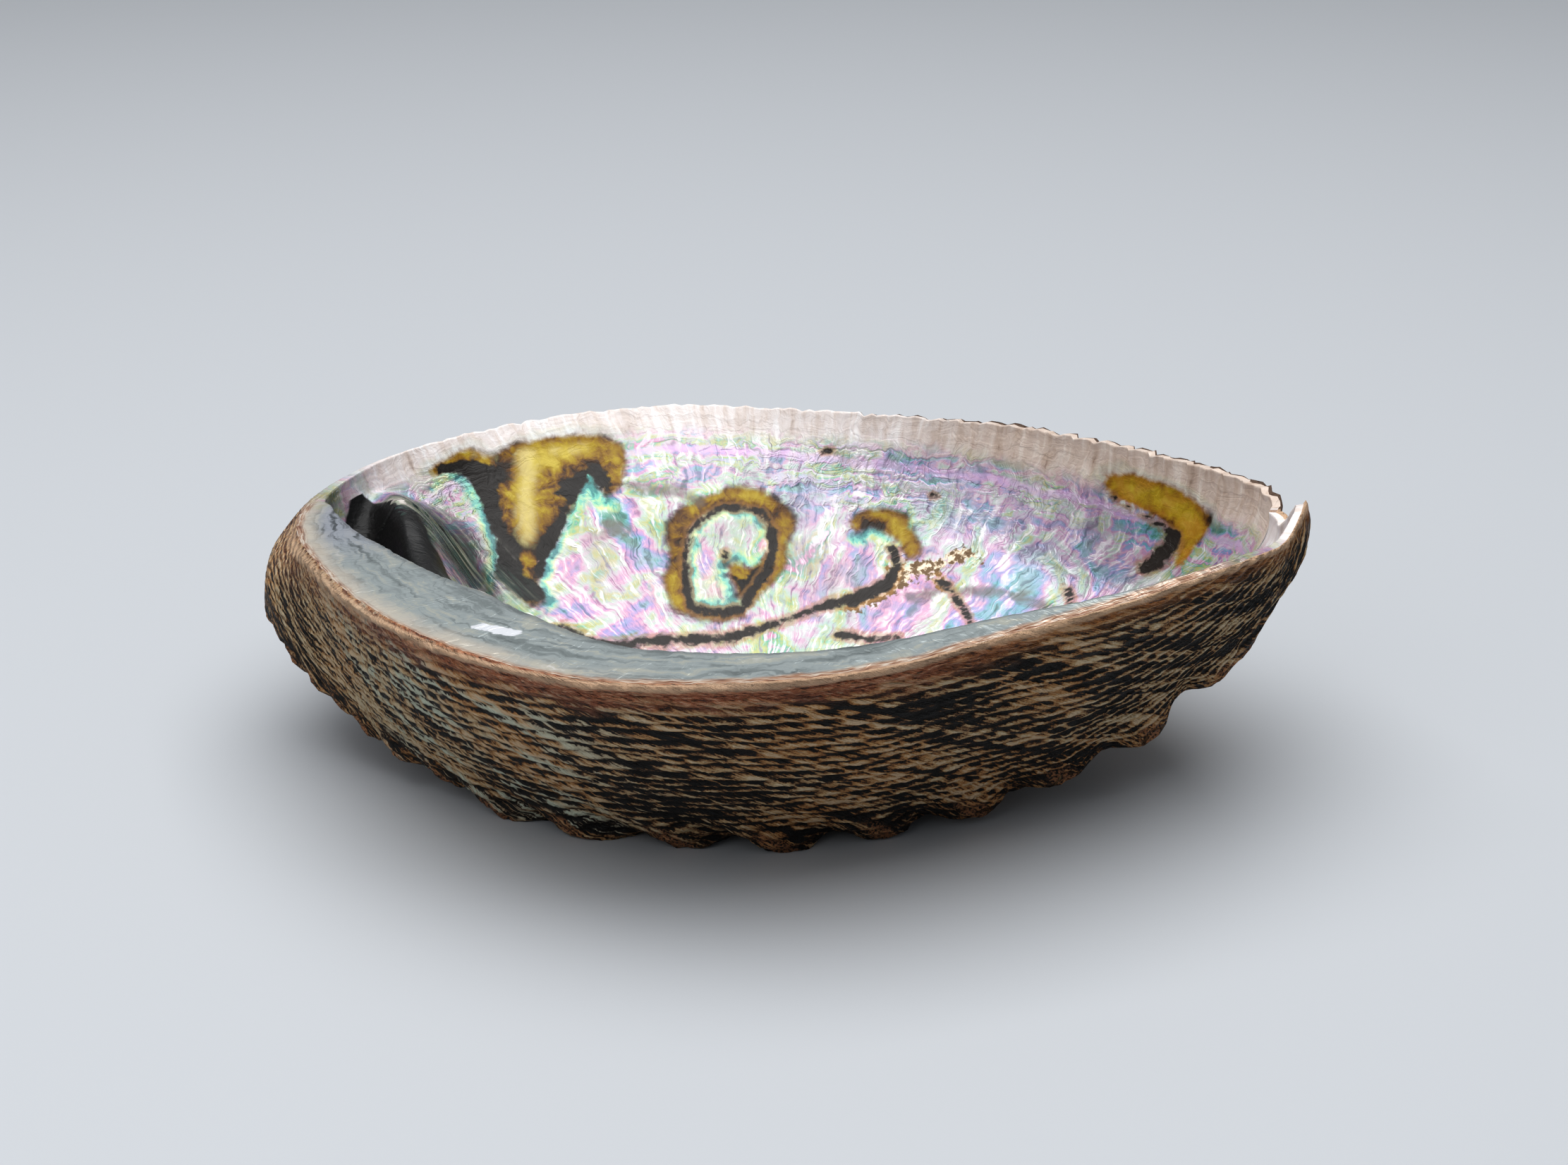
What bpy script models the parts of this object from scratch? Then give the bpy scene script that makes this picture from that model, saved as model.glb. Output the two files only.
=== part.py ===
"""An abalone shell lying on its back with the hollow side up: one piece, grown in one piece.

Metres, +Z up, +X towards the front end where the shell grew last, -Y towards the columella side with
its flat shelf and its row of pores. The wall is described in upright half-planes that all pass through
one line, the bowl's middle. In each of them an outer profile runs from the middle under the back to the
shoulder and up to the rim, and an inner profile comes back over the shelf and down into the bowl.
"""

import math

import bmesh
import bpy
import numpy as np

MM = 0.001

# Resolution of the solid: profiles round the shell, and points along each stretch of a profile.
PROFILES = 104
BACK_STEPS = 11
FLOOR_STEPS = 16
SIDE_STEPS = 7
LIP_STEPS = 2
SHELF_STEPS = 3

# Where the profiles crowd together, as (direction in degrees, share): at the front tip and along the pores.
CROWDING = [(0, 2.2), (12, 1.5), (30, 0.8), (140, 0.8), (165, 1.3), (200, 1.4), (330, 1.4), (346, 1.8)]

# The line all the half-planes share.
MIDDLE = (-3.0 * MM, 2.0 * MM)

# The rim, going round counter-clockwise from the upturned tip at the front end, in millimetres.
RIM = [
    (77.4, -7.5, 42.8), (76.2, -3.5, 38.0), (75.4, 1, 38.2), (75.2, 5, 40.0), (70.5, 13, 40.0), (61.5, 23.5, 39.4),
    (50, 34, 38.8), (38, 41.5, 38.4), (20, 48.5, 37.6), (0, 54, 36.8), (-20, 57, 36), (-38, 54.5, 35), (-54, 48, 34),
    (-66, 38, 33.5), (-73.5, 26, 33), (-76.5, 15, 33), (-75.5, 3, 33.4), (-71, -10, 34.2), (-64, -25, 35.0),
    (-54, -39, 35.4), (-42, -49.5, 35.4), (-28, -57, 35.6), (-10, -60.5, 36.5), (10, -59, 37.7), (32, -49, 39.2),
    (54, -36, 40.6), (67, -25, 40.8), (73.5, -16.5, 40.2),
]

# Where the back turns up into the side: the pore ridge on the near side, the turn of the back elsewhere.
SHOULDER = [
    (73.5, -8), (70, 0), (63.5, 9), (46, 19), (28, 28), (0, 35), (-22, 37), (-42, 35), (-58, 30.5), (-72, 22.5),
    (-79.4, 12.5), (-79.8, 4), (-76, -3.5), (-66, -10.5), (-55, -17.5), (-45.5, -23), (-34, -28.5), (-22, -33),
    (-11, -35.3), (5, -34.5), (21, -30.2), (35, -25.6), (47.5, -21.8), (57, -17.6), (65, -12.8),
]

# The dome of the back: for each way out from its lowest place, a distance, the rise over it, and a power.
LOWEST = (-8.0 * MM, 2.0 * MM)
DOME_BACKWARD = (71.0 * MM, 21.5 * MM, 3.4)
DOME_FORWARD = (84.0 * MM, 31.0 * MM, 2.9)
DOME_LIPWARD = (32.0 * MM, 13.5 * MM, 2.1)
DOME_RIDGEWARD = (37.0 * MM, 2.3 * MM, 3.0)
WORN_DEPTH = 0.25 * MM

# Directions, in degrees, between which the shoulder is a ridge with a steep side above it.
RIDGE_FROM, RIDGE_TO, RIDGE_FADE = 178.0, 356.0, 16.0
RIDGE_BULGE, ROUND_BULGE = math.radians(12), math.radians(38)

# Wall thickness under the back, at the shoulder and at the lip.
BACK_WALL, SHOULDER_WALL, LIP_WALL = 3.2 * MM, 3.0 * MM, 1.3 * MM

# The shelf inside the near rim, as (direction in degrees, width in millimetres), its thickness and its root.
SHELF = [(158, 0), (166, 2.5), (174, 7), (184, 10.5), (200, 12.8), (216, 15), (232, 13.5), (250, 10),
         (275, 7), (305, 4), (330, 1.5), (345, 0)]
SHELF_THICK = 2.2 * MM
SHELF_ROOT = 1.8 * MM

# The fold that parts the hollow of the spire from the bowl: (direction in degrees, how far out its crest
# is, how high), in millimetres, how wide it is on either side, and the share of the way out it may ride at.
FOLD = [(60, 60, -5), (130, 72, 5), (146, 73, 24), (154, 67.5, 30), (159.5, 61.8, 30), (164, 58.8, 29.5),
        (169, 56, 29), (173.5, 52.7, 28), (179, 49.5, 27), (186, 47, 25.5), (193, 45, 22.5), (201, 43.7, 17),
        (212, 43.5, 8), (225, 44, 0), (260, 46, -5), (330, 50, -5)]
FOLD_HOLLOW_SIDE, FOLD_BOWL_SIDE = 5.5 * MM, 12.0 * MM
FOLD_FROM, FOLD_TO, FOLD_FADE = 138.0, 236.0, 18.0
FOLD_SHARE, FOLD_SHARE_MOST = 0.64, 0.9

# The groove on the back under the fold: its share of the fold's height, and its width towards the spire.
SUTURE_SHARE, SUTURE_SPIRE_SIDE = 0.32, 8.0 * MM

# The spire on the back: its tip, and how far it stands proud.
APEX = (-62.0 * MM, 9.0 * MM)
SPIRE_HEIGHT, SPIRE_RADIUS = 4.0 * MM, 12.0 * MM

# The pore ridge: knobs that grow with the shell, the newest of them still open. Their spacing is a share
# of how far they are from the spire's tip, up to a most. Each stands out by a share of its spacing, and
# falls away steeply on its newer side and gently on its older side.
NEWEST_KNOB = 347.0
KNOB_SPACING_SHARE, KNOB_SPACING_MOST = 0.27, 14.2 * MM
KNOB_HEIGHT_SHARE = 0.15
KNOB_NEWER_SHARE, KNOB_OLDER_SHARE, KNOB_ACROSS_SHARE = 0.30, 0.44, 0.34
OPEN_PORES = 4
PORE_WIDTH = 3.2 * MM
PORE_DEPTH = 16.0 * MM


def clear_scene():
    for obj in list(bpy.data.objects):
        bpy.data.objects.remove(obj, do_unlink=True)


def smooth(share):
    """0 before 0, 1 after 1, and an easy S between."""
    share = np.clip(share, 0.0, 1.0)
    return share * share * (3.0 - 2.0 * share)


def round_curve(knots, values, at):
    """A smooth closed curve through values at increasing knots in degrees, read at the angles in at."""
    knots, values = np.asarray(knots, float), np.asarray(values, float)
    order = np.argsort(knots)
    knots, values = knots[order], values[order]
    wide = np.concatenate([knots[-2:] - 360.0, knots, knots[:2] + 360.0])
    tall = np.concatenate([values[-2:], values, values[:2]])
    slopes = (tall[2:] - tall[:-2]) / (wide[2:] - wide[:-2])
    at = np.mod(np.asarray(at, float) - knots[0], 360.0) + knots[0]
    i = np.clip(np.searchsorted(wide, at, side="right") - 1, 1, len(wide) - 3)
    span = wide[i + 1] - wide[i]
    t = (at - wide[i]) / span
    start, end = tall[i], tall[i + 1]
    rise, fall = slopes[i - 1] * span, slopes[i] * span
    return (
        (2 * t**3 - 3 * t**2 + 1) * start + (t**3 - 2 * t**2 + t) * rise
        + (3 * t**2 - 2 * t**3) * end + (t**3 - t**2) * fall
    )


def outline_reach(points, directions):
    """How far a closed outline in plan is from the middle along each direction, in metres."""
    x, y = (np.array(points, float)[:, :2] * MM - np.array(MIDDLE)).T
    return round_curve(np.mod(np.degrees(np.arctan2(y, x)), 360.0), np.hypot(x, y), directions)


def rim_profile(directions):
    """(reach, height) of the rim in the half-plane of each direction, in metres."""
    x, y = (np.array(RIM, float)[:, :2] * MM - np.array(MIDDLE)).T
    heights = np.array(RIM, float)[:, 2] * MM
    height = round_curve(np.mod(np.degrees(np.arctan2(y, x)), 360.0), heights, directions)
    return np.stack([outline_reach(RIM, directions), height], axis=-1)


def even_directions(count):
    """Directions from the middle, in degrees, that share out the rim's length, closer where it is crowded."""
    fine = np.linspace(0.0, 360.0, 1441)
    rim = outline_reach(RIM, fine)
    turn = np.radians(fine)
    places = np.stack([rim * np.cos(turn), rim * np.sin(turn)], axis=-1)
    crowd = round_curve(*zip(*CROWDING), 0.5 * (fine[1:] + fine[:-1]))
    walked = np.concatenate([[0.0], np.cumsum(crowd * np.linalg.norm(np.diff(places, axis=0), axis=1))])
    return np.interp(np.arange(count) / count * walked[-1], walked, fine)


def dome(x, y):
    """Height of the back over a place in plan, before it is worn and before the spire is added."""
    height = np.full(np.shape(x), -WORN_DEPTH)
    for along, (distance, rise, power) in (
        (LOWEST[0] - x, DOME_BACKWARD), (x - LOWEST[0], DOME_FORWARD),
        (y - LOWEST[1], DOME_LIPWARD), (LOWEST[1] - y, DOME_RIDGEWARD),
    ):
        height = height + rise * (np.maximum(along, 0.0) / distance) ** power
    return height


def dome_profile(reach, directions):
    """Height of the back at distances from the middle along each direction."""
    turn = np.radians(directions).reshape((-1,) + (1,) * (np.ndim(reach) - 1))
    return dome(MIDDLE[0] + reach * np.cos(turn), MIDDLE[1] + reach * np.sin(turn))


def heading(slope):
    return np.stack([np.cos(slope), np.sin(slope)], axis=-1)


def arc(start, start_slope, end, end_slope, shares):
    """Points at shares of the way, in every half-plane at once, on a curve that leaves and arrives at the slopes."""
    pull = 0.36 * np.linalg.norm(end - start, axis=-1)[:, None]
    first = start + pull * heading(start_slope)
    second = end - pull * heading(end_slope)
    t = shares[..., None]
    a, b, c, d = (p[:, None, :] for p in (start, first, second, end))
    return (1 - t) ** 3 * a + 3 * (1 - t) ** 2 * t * b + 3 * (1 - t) * t**2 * c + t**3 * d


def even_shares(steps):
    return (np.arange(1, steps + 1) / steps)[None, :]


def ridge_share(directions):
    """1 where the shoulder is the pore ridge, 0 where the back simply turns up."""
    turn = np.mod(directions, 360.0)
    return smooth((turn - RIDGE_FROM) / RIDGE_FADE) * smooth((RIDGE_TO - turn) / RIDGE_FADE)


def shelf_width(directions):
    at, width = zip(*SHELF)
    return np.interp(np.mod(directions, 360.0), at, np.array(width) * MM)


def shell_profiles(directions):
    """Outer and inner profiles, from the middle of the back over the rim to the middle of the bowl."""
    rim, reach = rim_profile(directions), outline_reach(SHOULDER, directions)
    step = 0.2 * MM
    shoulder = np.stack([reach, dome_profile(reach, directions)], axis=-1)
    rise = dome_profile(reach + step, directions) - dome_profile(reach - step, directions)
    arriving = np.arctan(rise / (2 * step))
    side = rim - shoulder
    chord = np.arctan2(side[:, 1], side[:, 0])
    ridge = ridge_share(directions)
    bulge = np.minimum(chord - arriving, ridge * RIDGE_BULGE + (1 - ridge) * ROUND_BULGE)
    leaving, top = chord - bulge, chord + bulge

    back = reach[:, None] * outward_shares(BACK_STEPS)
    back = np.stack([back, dome_profile(back, directions)], axis=-1)
    wall = arc(shoulder, leaving, rim, top, even_shares(SIDE_STEPS))

    width = shelf_width(directions)
    shelved = smooth(width / (4.0 * MM))
    drop = LIP_WALL + 1.0 * MM + (SHELF_THICK + 2.0 * MM) * shelved
    below_rim = 1.0 - (drop / (1.08 * np.linalg.norm(side, axis=-1)))[:, None] + np.array([[-0.01, 0.0, 0.01]])
    near_root = arc(shoulder, leaving, rim, top, below_rim)
    root_slope = np.arctan2(*(near_root[:, 2] - near_root[:, 0]).T[::-1])
    root = near_root[:, 1] + (LIP_WALL + SHELF_ROOT * shelved)[:, None] * heading(root_slope + 0.5 * np.pi)
    lip = rim + LIP_WALL * heading(top + 0.5 * np.pi)
    under = lip - LIP_WALL * heading(top)
    shelf_lip = rim + np.stack([-(LIP_WALL + width), 0.25 * LIP_WALL + 0.05 * width], axis=-1)
    shelf_under = shelf_lip - np.array([0.1 * MM, LIP_WALL + SHELF_THICK])
    lip += shelved[:, None] * (shelf_lip - lip)
    under += shelved[:, None] * (shelf_under - under)
    middle_slope = 0.5 * (arriving + leaving)
    corner = SHOULDER_WALL / np.cos(0.5 * (leaving - arriving))
    shoulder_in = shoulder + corner[:, None] * np.stack([-np.sin(middle_slope), np.cos(middle_slope)], axis=-1)

    edge = line(rim, lip, SHELF_STEPS)
    nose = line(lip, under, LIP_STEPS)
    shelter = line(under, root, SHELF_STEPS)
    inner_wall = arc(shoulder_in, leaving, root, root_slope, even_shares(SIDE_STEPS))[:, ::-1]
    inner_wall = np.concatenate([inner_wall[:, 1:], shoulder_in[:, None, :]], axis=1)
    inwards = floor_shares(shoulder_in[:, 0], directions)[:, -2::-1]
    floor = shoulder_in[:, :1] * inwards
    lifted = shoulder_in[:, 1] - dome_profile(shoulder_in[:, 0], directions) - BACK_WALL
    height = dome_profile(floor, directions) + BACK_WALL + lifted[:, None] * inwards**4
    floor = np.stack([floor, height], axis=-1)

    outside = np.concatenate([back, wall], axis=1)
    outside[..., 1] += SUTURE_SHARE * fold_lift(outside, directions, SUTURE_SPIRE_SIDE, BACK_WALL)
    inside = np.concatenate([inner_wall, floor], axis=1)
    below_root = np.clip(np.arange(1, inside.shape[1] + 1) / SIDE_STEPS, 0.0, 1.0)
    open_side = 1.0 - shelved[:, None] * (1.0 - below_root)
    inside[..., 1] += open_side * fold_lift(inside, directions, FOLD_HOLLOW_SIDE, 0.0)
    return np.concatenate([outside, edge, nose, shelter, inside], axis=1)


def fold_crest(directions):
    """(how far out, how high) the crest of the fold is in each direction, in metres."""
    at, reach, height = zip(*FOLD)
    return round_curve(at, reach, directions) * MM, round_curve(at, height, directions) * MM


def fold_lift(profile, directions, hollow_side, below):
    """How much the fold lifts each point of the profiles, for a surface that lies below the bowl's."""
    reach, height = fold_crest(directions)
    gap = profile[..., 0] - reach[:, None]
    share = np.exp(-((gap / np.where(gap > 0, hollow_side, FOLD_BOWL_SIDE)) ** 2))
    return share * np.maximum(height[:, None] - below - profile[..., 1], 0.0)


def outward_shares(steps):
    """Shares of the way from the middle to the shoulder, closer together towards the shoulder."""
    return 1.0 - (1.0 - np.arange(1, steps + 1) / steps) ** 1.25


def floor_shares(reach, directions):
    """The same for the bowl's floor, drawn in or out so that one of them rides on the crest of the fold."""
    shares = outward_shares(FLOOR_STEPS)
    riding = shares[np.argmin(np.abs(shares - FOLD_SHARE))]
    turn = np.mod(directions, 360.0)
    present = smooth((turn - FOLD_FROM) / FOLD_FADE) * smooth((FOLD_TO - turn) / FOLD_FADE)
    crest = np.minimum(fold_crest(directions)[0] / reach, FOLD_SHARE_MOST)
    crest = riding + present * (crest - riding)
    within = crest[:, None] * shares / riding
    beyond = 1.0 - (1.0 - crest[:, None]) * (1.0 - shares) / (1.0 - riding)
    return np.where(shares <= riding, within, beyond)


def line(start, end, steps):
    t = (np.arange(1, steps + 1) / steps)[None, :, None]
    return start[:, None, :] * (1 - t) + end[:, None, :] * t


def in_space(profiles, directions):
    """Profile points as positions in space, one row for each profile."""
    turn = np.radians(directions)[:, None]
    return np.stack(
        [MIDDLE[0] + profiles[..., 0] * np.cos(turn), MIDDLE[1] + profiles[..., 0] * np.sin(turn),
         profiles[..., 1]],
        axis=-1,
    )


def ridge_line(directions):
    """Places of the shoulder in space."""
    directions = np.atleast_1d(directions)
    reach = outline_reach(SHOULDER, directions)
    return in_space(np.stack([reach, dome_profile(reach, directions)], axis=-1)[:, None], directions)[:, 0]


def ridge_knobs():
    """Every knob along the pore ridge from the newest back: (direction, place, way it points, spacing)."""
    fine = np.linspace(NEWEST_KNOB, 165.0, 801)
    line_places = ridge_line(fine)
    walked = np.concatenate([[0.0], np.cumsum(np.linalg.norm(np.diff(line_places, axis=0), axis=1))])
    knobs = []
    along = 0.0
    while along < walked[-1]:
        direction = float(np.interp(along, walked, fine))
        place = ridge_line(direction)[0]
        turn = math.radians(direction)
        away = np.array([math.cos(turn), math.sin(turn), -1.2])
        from_tip = math.hypot(place[0] - APEX[0], place[1] - APEX[1])
        spacing = min(KNOB_SPACING_SHARE * from_tip, KNOB_SPACING_MOST)
        knobs.append((direction, place, away / np.linalg.norm(away), spacing))
        along += spacing
    return knobs


def raise_knobs(outer):
    """Raises a rounded knob on the outside of the ridge at each pore, open or healed."""
    for direction, centre, away, spacing in ridge_knobs():
        turn = math.radians(direction)
        newer = np.array([-math.sin(turn), math.cos(turn), 0.0])
        offset = outer - centre
        along = offset @ newer
        across = np.linalg.norm(offset - along[..., None] * newer, axis=-1)
        reach = np.where(along > 0, KNOB_NEWER_SHARE, KNOB_OLDER_SHARE) * spacing
        share = np.exp(-(along / reach) ** 2 - (across / (KNOB_ACROSS_SHARE * spacing)) ** 2)
        outer += (KNOB_HEIGHT_SHARE * spacing * share)[..., None] * away


def spire_depth(x, y):
    """How far the spire stands out below the back over a place in plan."""
    reach = np.hypot(x - APEX[0], y - APEX[1])
    return SPIRE_HEIGHT * np.exp(-((reach / SPIRE_RADIUS) ** 2))


def shell_points(count):
    """Places of every profile's points, one row for each profile."""
    directions = even_directions(count)
    places = in_space(shell_profiles(directions), directions)
    outside = places[:, :BACK_STEPS + SIDE_STEPS]
    outside[..., 2] -= spire_depth(outside[..., 0], outside[..., 1])
    raise_knobs(outside)
    outside[..., 2] = np.maximum(outside[..., 2], 0.0)
    inside = places[:, BACK_STEPS + SIDE_STEPS + 2 * SHELF_STEPS + LIP_STEPS + SIDE_STEPS:]
    inside[..., 2] -= spire_depth(inside[..., 0], inside[..., 1])
    return places


def shell_mesh(places, centre):
    """The closed wall: a fan at the middle of the back, bands of quads, and a fan at the middle of the bowl."""
    count, rows = places.shape[:2]
    places = places - centre
    middle = np.array([*MIDDLE, 0.0]) - centre
    mesh = bmesh.new()
    back_pole = mesh.verts.new(middle)
    rings = [[mesh.verts.new(places[i, j]) for i in range(count)] for j in range(rows)]
    bowl_pole = mesh.verts.new(middle + np.array([0.0, 0.0, float(dome(*MIDDLE)) + BACK_WALL]))
    for i in range(count):
        following = (i + 1) % count
        mesh.faces.new((back_pole, rings[0][following], rings[0][i]))
        for lower, upper in zip(rings[:-1], rings[1:]):
            mesh.faces.new((lower[i], lower[following], upper[following], upper[i]))
        mesh.faces.new((rings[-1][i], rings[-1][following], bowl_pole))
    made = bpy.data.meshes.new("shell")
    mesh.to_mesh(made)
    mesh.free()
    return made


def pore_cutter(middle_of_box):
    """The open pores as one mesh of rods, each crossing the ridge along its own slant."""
    mesh = bmesh.new()
    for direction, centre, away, spacing in ridge_knobs()[:OPEN_PORES]:
        centre = centre - middle_of_box
        turn = math.radians(direction)
        side = np.array([-math.sin(turn), math.cos(turn), 0.0])
        up = np.cross(away, side)
        half = 0.5 * PORE_WIDTH * spacing / KNOB_SPACING_MOST
        ends = []
        for reach in (-0.5 * PORE_DEPTH, 0.5 * PORE_DEPTH):
            ring = []
            for step in range(12):
                a = 2 * math.pi * step / 12
                ring.append(mesh.verts.new(
                    centre + reach * away + half * (1.25 * math.cos(a) * side + math.sin(a) * up)))
            ends.append(ring)
        mesh.faces.new(ends[0])
        mesh.faces.new(ends[1][::-1])
        for step in range(12):
            after = (step + 1) % 12
            mesh.faces.new((ends[0][step], ends[1][step], ends[1][after], ends[0][after]))
    bmesh.ops.recalc_face_normals(mesh, faces=mesh.faces)
    made = bpy.data.meshes.new("pore_rods")
    mesh.to_mesh(made)
    mesh.free()
    cutter = bpy.data.objects.new("pore_rods", made)
    bpy.context.scene.collection.objects.link(cutter)
    cutter.hide_render = True
    cutter.display_type = "WIRE"
    return cutter


def shell_material():
    material = bpy.data.materials.new("shell")
    material.use_nodes = True
    finish = material.node_tree.nodes["Principled BSDF"]
    finish.inputs["Base Color"].default_value = (0.36, 0.27, 0.19, 1.0)
    finish.inputs["Roughness"].default_value = 0.5
    finish.inputs["Metallic"].default_value = 0.0
    return material


def main():
    clear_scene()
    places = shell_points(PROFILES)
    centre = 0.5 * (places.min(axis=(0, 1)) + places.max(axis=(0, 1))) * np.array([1.0, 1.0, 0.0])
    mesh = shell_mesh(places, centre)
    shell = bpy.data.objects.new("shell", mesh)
    bpy.context.scene.collection.objects.link(shell)
    mesh.materials.append(shell_material())
    mesh.shade_smooth()
    pores = shell.modifiers.new("open_pores", "BOOLEAN")
    pores.operation = "DIFFERENCE"
    pores.object = pore_cutter(centre)


main()
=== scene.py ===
"""An abalone shell lying on its back, hollow side up, on a plain pale surface."""

import math

import bpy
import numpy as np
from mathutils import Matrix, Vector


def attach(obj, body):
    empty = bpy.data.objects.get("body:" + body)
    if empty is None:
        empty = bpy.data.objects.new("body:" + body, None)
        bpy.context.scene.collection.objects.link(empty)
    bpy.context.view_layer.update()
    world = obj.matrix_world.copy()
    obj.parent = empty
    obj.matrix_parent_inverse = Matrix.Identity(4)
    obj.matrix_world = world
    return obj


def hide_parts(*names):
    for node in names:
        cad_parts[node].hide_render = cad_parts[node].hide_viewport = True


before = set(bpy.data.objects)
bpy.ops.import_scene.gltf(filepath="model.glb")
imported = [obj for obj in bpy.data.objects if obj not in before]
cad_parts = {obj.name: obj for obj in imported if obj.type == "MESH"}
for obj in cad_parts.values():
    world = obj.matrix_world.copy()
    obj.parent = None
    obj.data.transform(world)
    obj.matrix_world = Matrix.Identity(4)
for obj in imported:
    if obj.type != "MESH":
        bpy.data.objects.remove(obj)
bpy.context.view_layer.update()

bl_info = {
    "name": "Abalone shell",
    "version": (1, 0, 0),
    "blender": (4, 5, 0),
    "location": "3D View > Sidebar > Shell",
    "description": "Grows an abalone shell with its corded crust, pore ridge and nacre",
    "category": "Object",
}

MM = 0.001

# ---------------------------------------------------------------------------------------------------
# The wall: outlines and heights in millimetres, and the same rules that the solid follows.

COLUMNS = 462
BACK_STEPS, WALL_STEPS = 38, 90
EDGE_STEPS, NOSE_STEPS, SHELTER_STEPS = 10, 4, 4
INNER_STEPS, FLOOR_STEPS = 28, 40

CROWDING = [(0, 1.5), (12, 1.3), (30, 1.0), (140, 0.9), (165, 1.1), (200, 1.1), (330, 1.2), (346, 1.4)]
MIDDLE = (-3.0 * MM, 2.0 * MM)

RIM = [
    (77.4, -7.5, 42.8), (76.2, -3.5, 38.0), (75.4, 1, 38.2), (75.2, 5, 40.0), (70.5, 13, 40.0),
    (61.5, 23.5, 39.4), (50, 34, 38.8), (38, 41.5, 38.4), (20, 48.5, 37.6), (0, 54, 36.8), (-20, 57, 36),
    (-38, 54.5, 35), (-54, 48, 34), (-66, 38, 33.5), (-73.5, 26, 33), (-76.5, 15, 33), (-75.5, 3, 33.4),
    (-71, -10, 34.2), (-64, -25, 35.0), (-54, -39, 35.4), (-42, -49.5, 35.4), (-28, -57, 35.6),
    (-10, -60.5, 36.5), (10, -59, 37.7), (32, -49, 39.2), (54, -36, 40.6), (67, -25, 40.8),
    (73.5, -16.5, 40.2),
]
SHOULDER = [
    (73.5, -8), (70, 0), (63.5, 9), (46, 19), (28, 28), (0, 35), (-22, 37), (-42, 35), (-58, 30.5),
    (-72, 22.5), (-79.4, 12.5), (-79.8, 4), (-76, -3.5), (-66, -10.5), (-55, -17.5), (-45.5, -23),
    (-34, -28.5), (-22, -33), (-11, -35.3), (5, -34.5), (21, -30.2), (35, -25.6), (47.5, -21.8), (57, -17.6),
    (65, -12.8),
]
LOWEST = (-8.0 * MM, 2.0 * MM)
DOME_BACKWARD = (71.0 * MM, 21.5 * MM, 3.4)
DOME_FORWARD = (84.0 * MM, 31.0 * MM, 2.9)
DOME_LIPWARD = (32.0 * MM, 13.5 * MM, 2.1)
DOME_RIDGEWARD = (37.0 * MM, 2.3 * MM, 3.0)
WORN_DEPTH = 0.25 * MM
RIDGE_FROM, RIDGE_TO, RIDGE_FADE = 178.0, 356.0, 16.0
RIDGE_BULGE, ROUND_BULGE = math.radians(12), math.radians(38)
BACK_WALL, SHOULDER_WALL, LIP_WALL = 3.2 * MM, 3.0 * MM, 1.3 * MM
SHELF = [(158, 0), (166, 2.5), (174, 7), (184, 10.5), (200, 12.8), (216, 15), (232, 13.5), (250, 10),
         (275, 7), (305, 4), (330, 1.5), (345, 0)]
SHELF_THICK, SHELF_ROOT = 2.2 * MM, 1.8 * MM
FOLD = [(60, 60, -5), (130, 72, 5), (146, 73, 24), (154, 67.5, 30), (159.5, 61.8, 30), (164, 58.8, 29.5),
        (169, 56, 29), (173.5, 52.7, 28), (179, 49.5, 27), (186, 47, 25.5), (193, 45, 22.5), (201, 43.7, 17),
        (212, 43.5, 8), (225, 44, 0), (260, 46, -5), (330, 50, -5)]
FOLD_HOLLOW_SIDE, FOLD_BOWL_SIDE = 5.5 * MM, 12.0 * MM
FOLD_FROM, FOLD_TO, FOLD_FADE = 138.0, 236.0, 18.0
FOLD_SHARE, FOLD_SHARE_MOST = 0.64, 0.9
SUTURE_SHARE, SUTURE_SPIRE_SIDE = 0.32, 8.0 * MM
APEX = (-62.0 * MM, 9.0 * MM)
SPIRE_HEIGHT, SPIRE_RADIUS = 4.0 * MM, 12.0 * MM
NEWEST_KNOB = 347.0
KNOB_SPACING_SHARE, KNOB_SPACING_MOST = 0.27, 14.2 * MM
OPEN_PORES = 4

# The spiral that the cords follow on the back: how fast a cord moves outwards as it turns, how many cords
# there are to one step of it, which cord runs along the pore ridge, and how the growth lines cross them.
SPIRAL_PITCH = 1.2
CORDS_PER_STEP = 20.0
RIDGE_CORD = 100.0
RING_LEAN = 0.47

# How wide a cord is on the near wall, as (direction in degrees, millimetres).
CORD_WIDTHS = [(160, 0.9), (178, 1.0), (190, 1.2), (205, 1.5), (225, 1.8), (250, 2.0), (310, 2.0), (345, 1.7)]

# The walls lean about 45 degrees: a distance along them is this many times its height or its depth.
WALL_LEAN = 1.41
# Marks in the hollow stay below this height, and the chip in the shelf's edge above it.
UNDER_SHELF = 30.0 * MM

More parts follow.
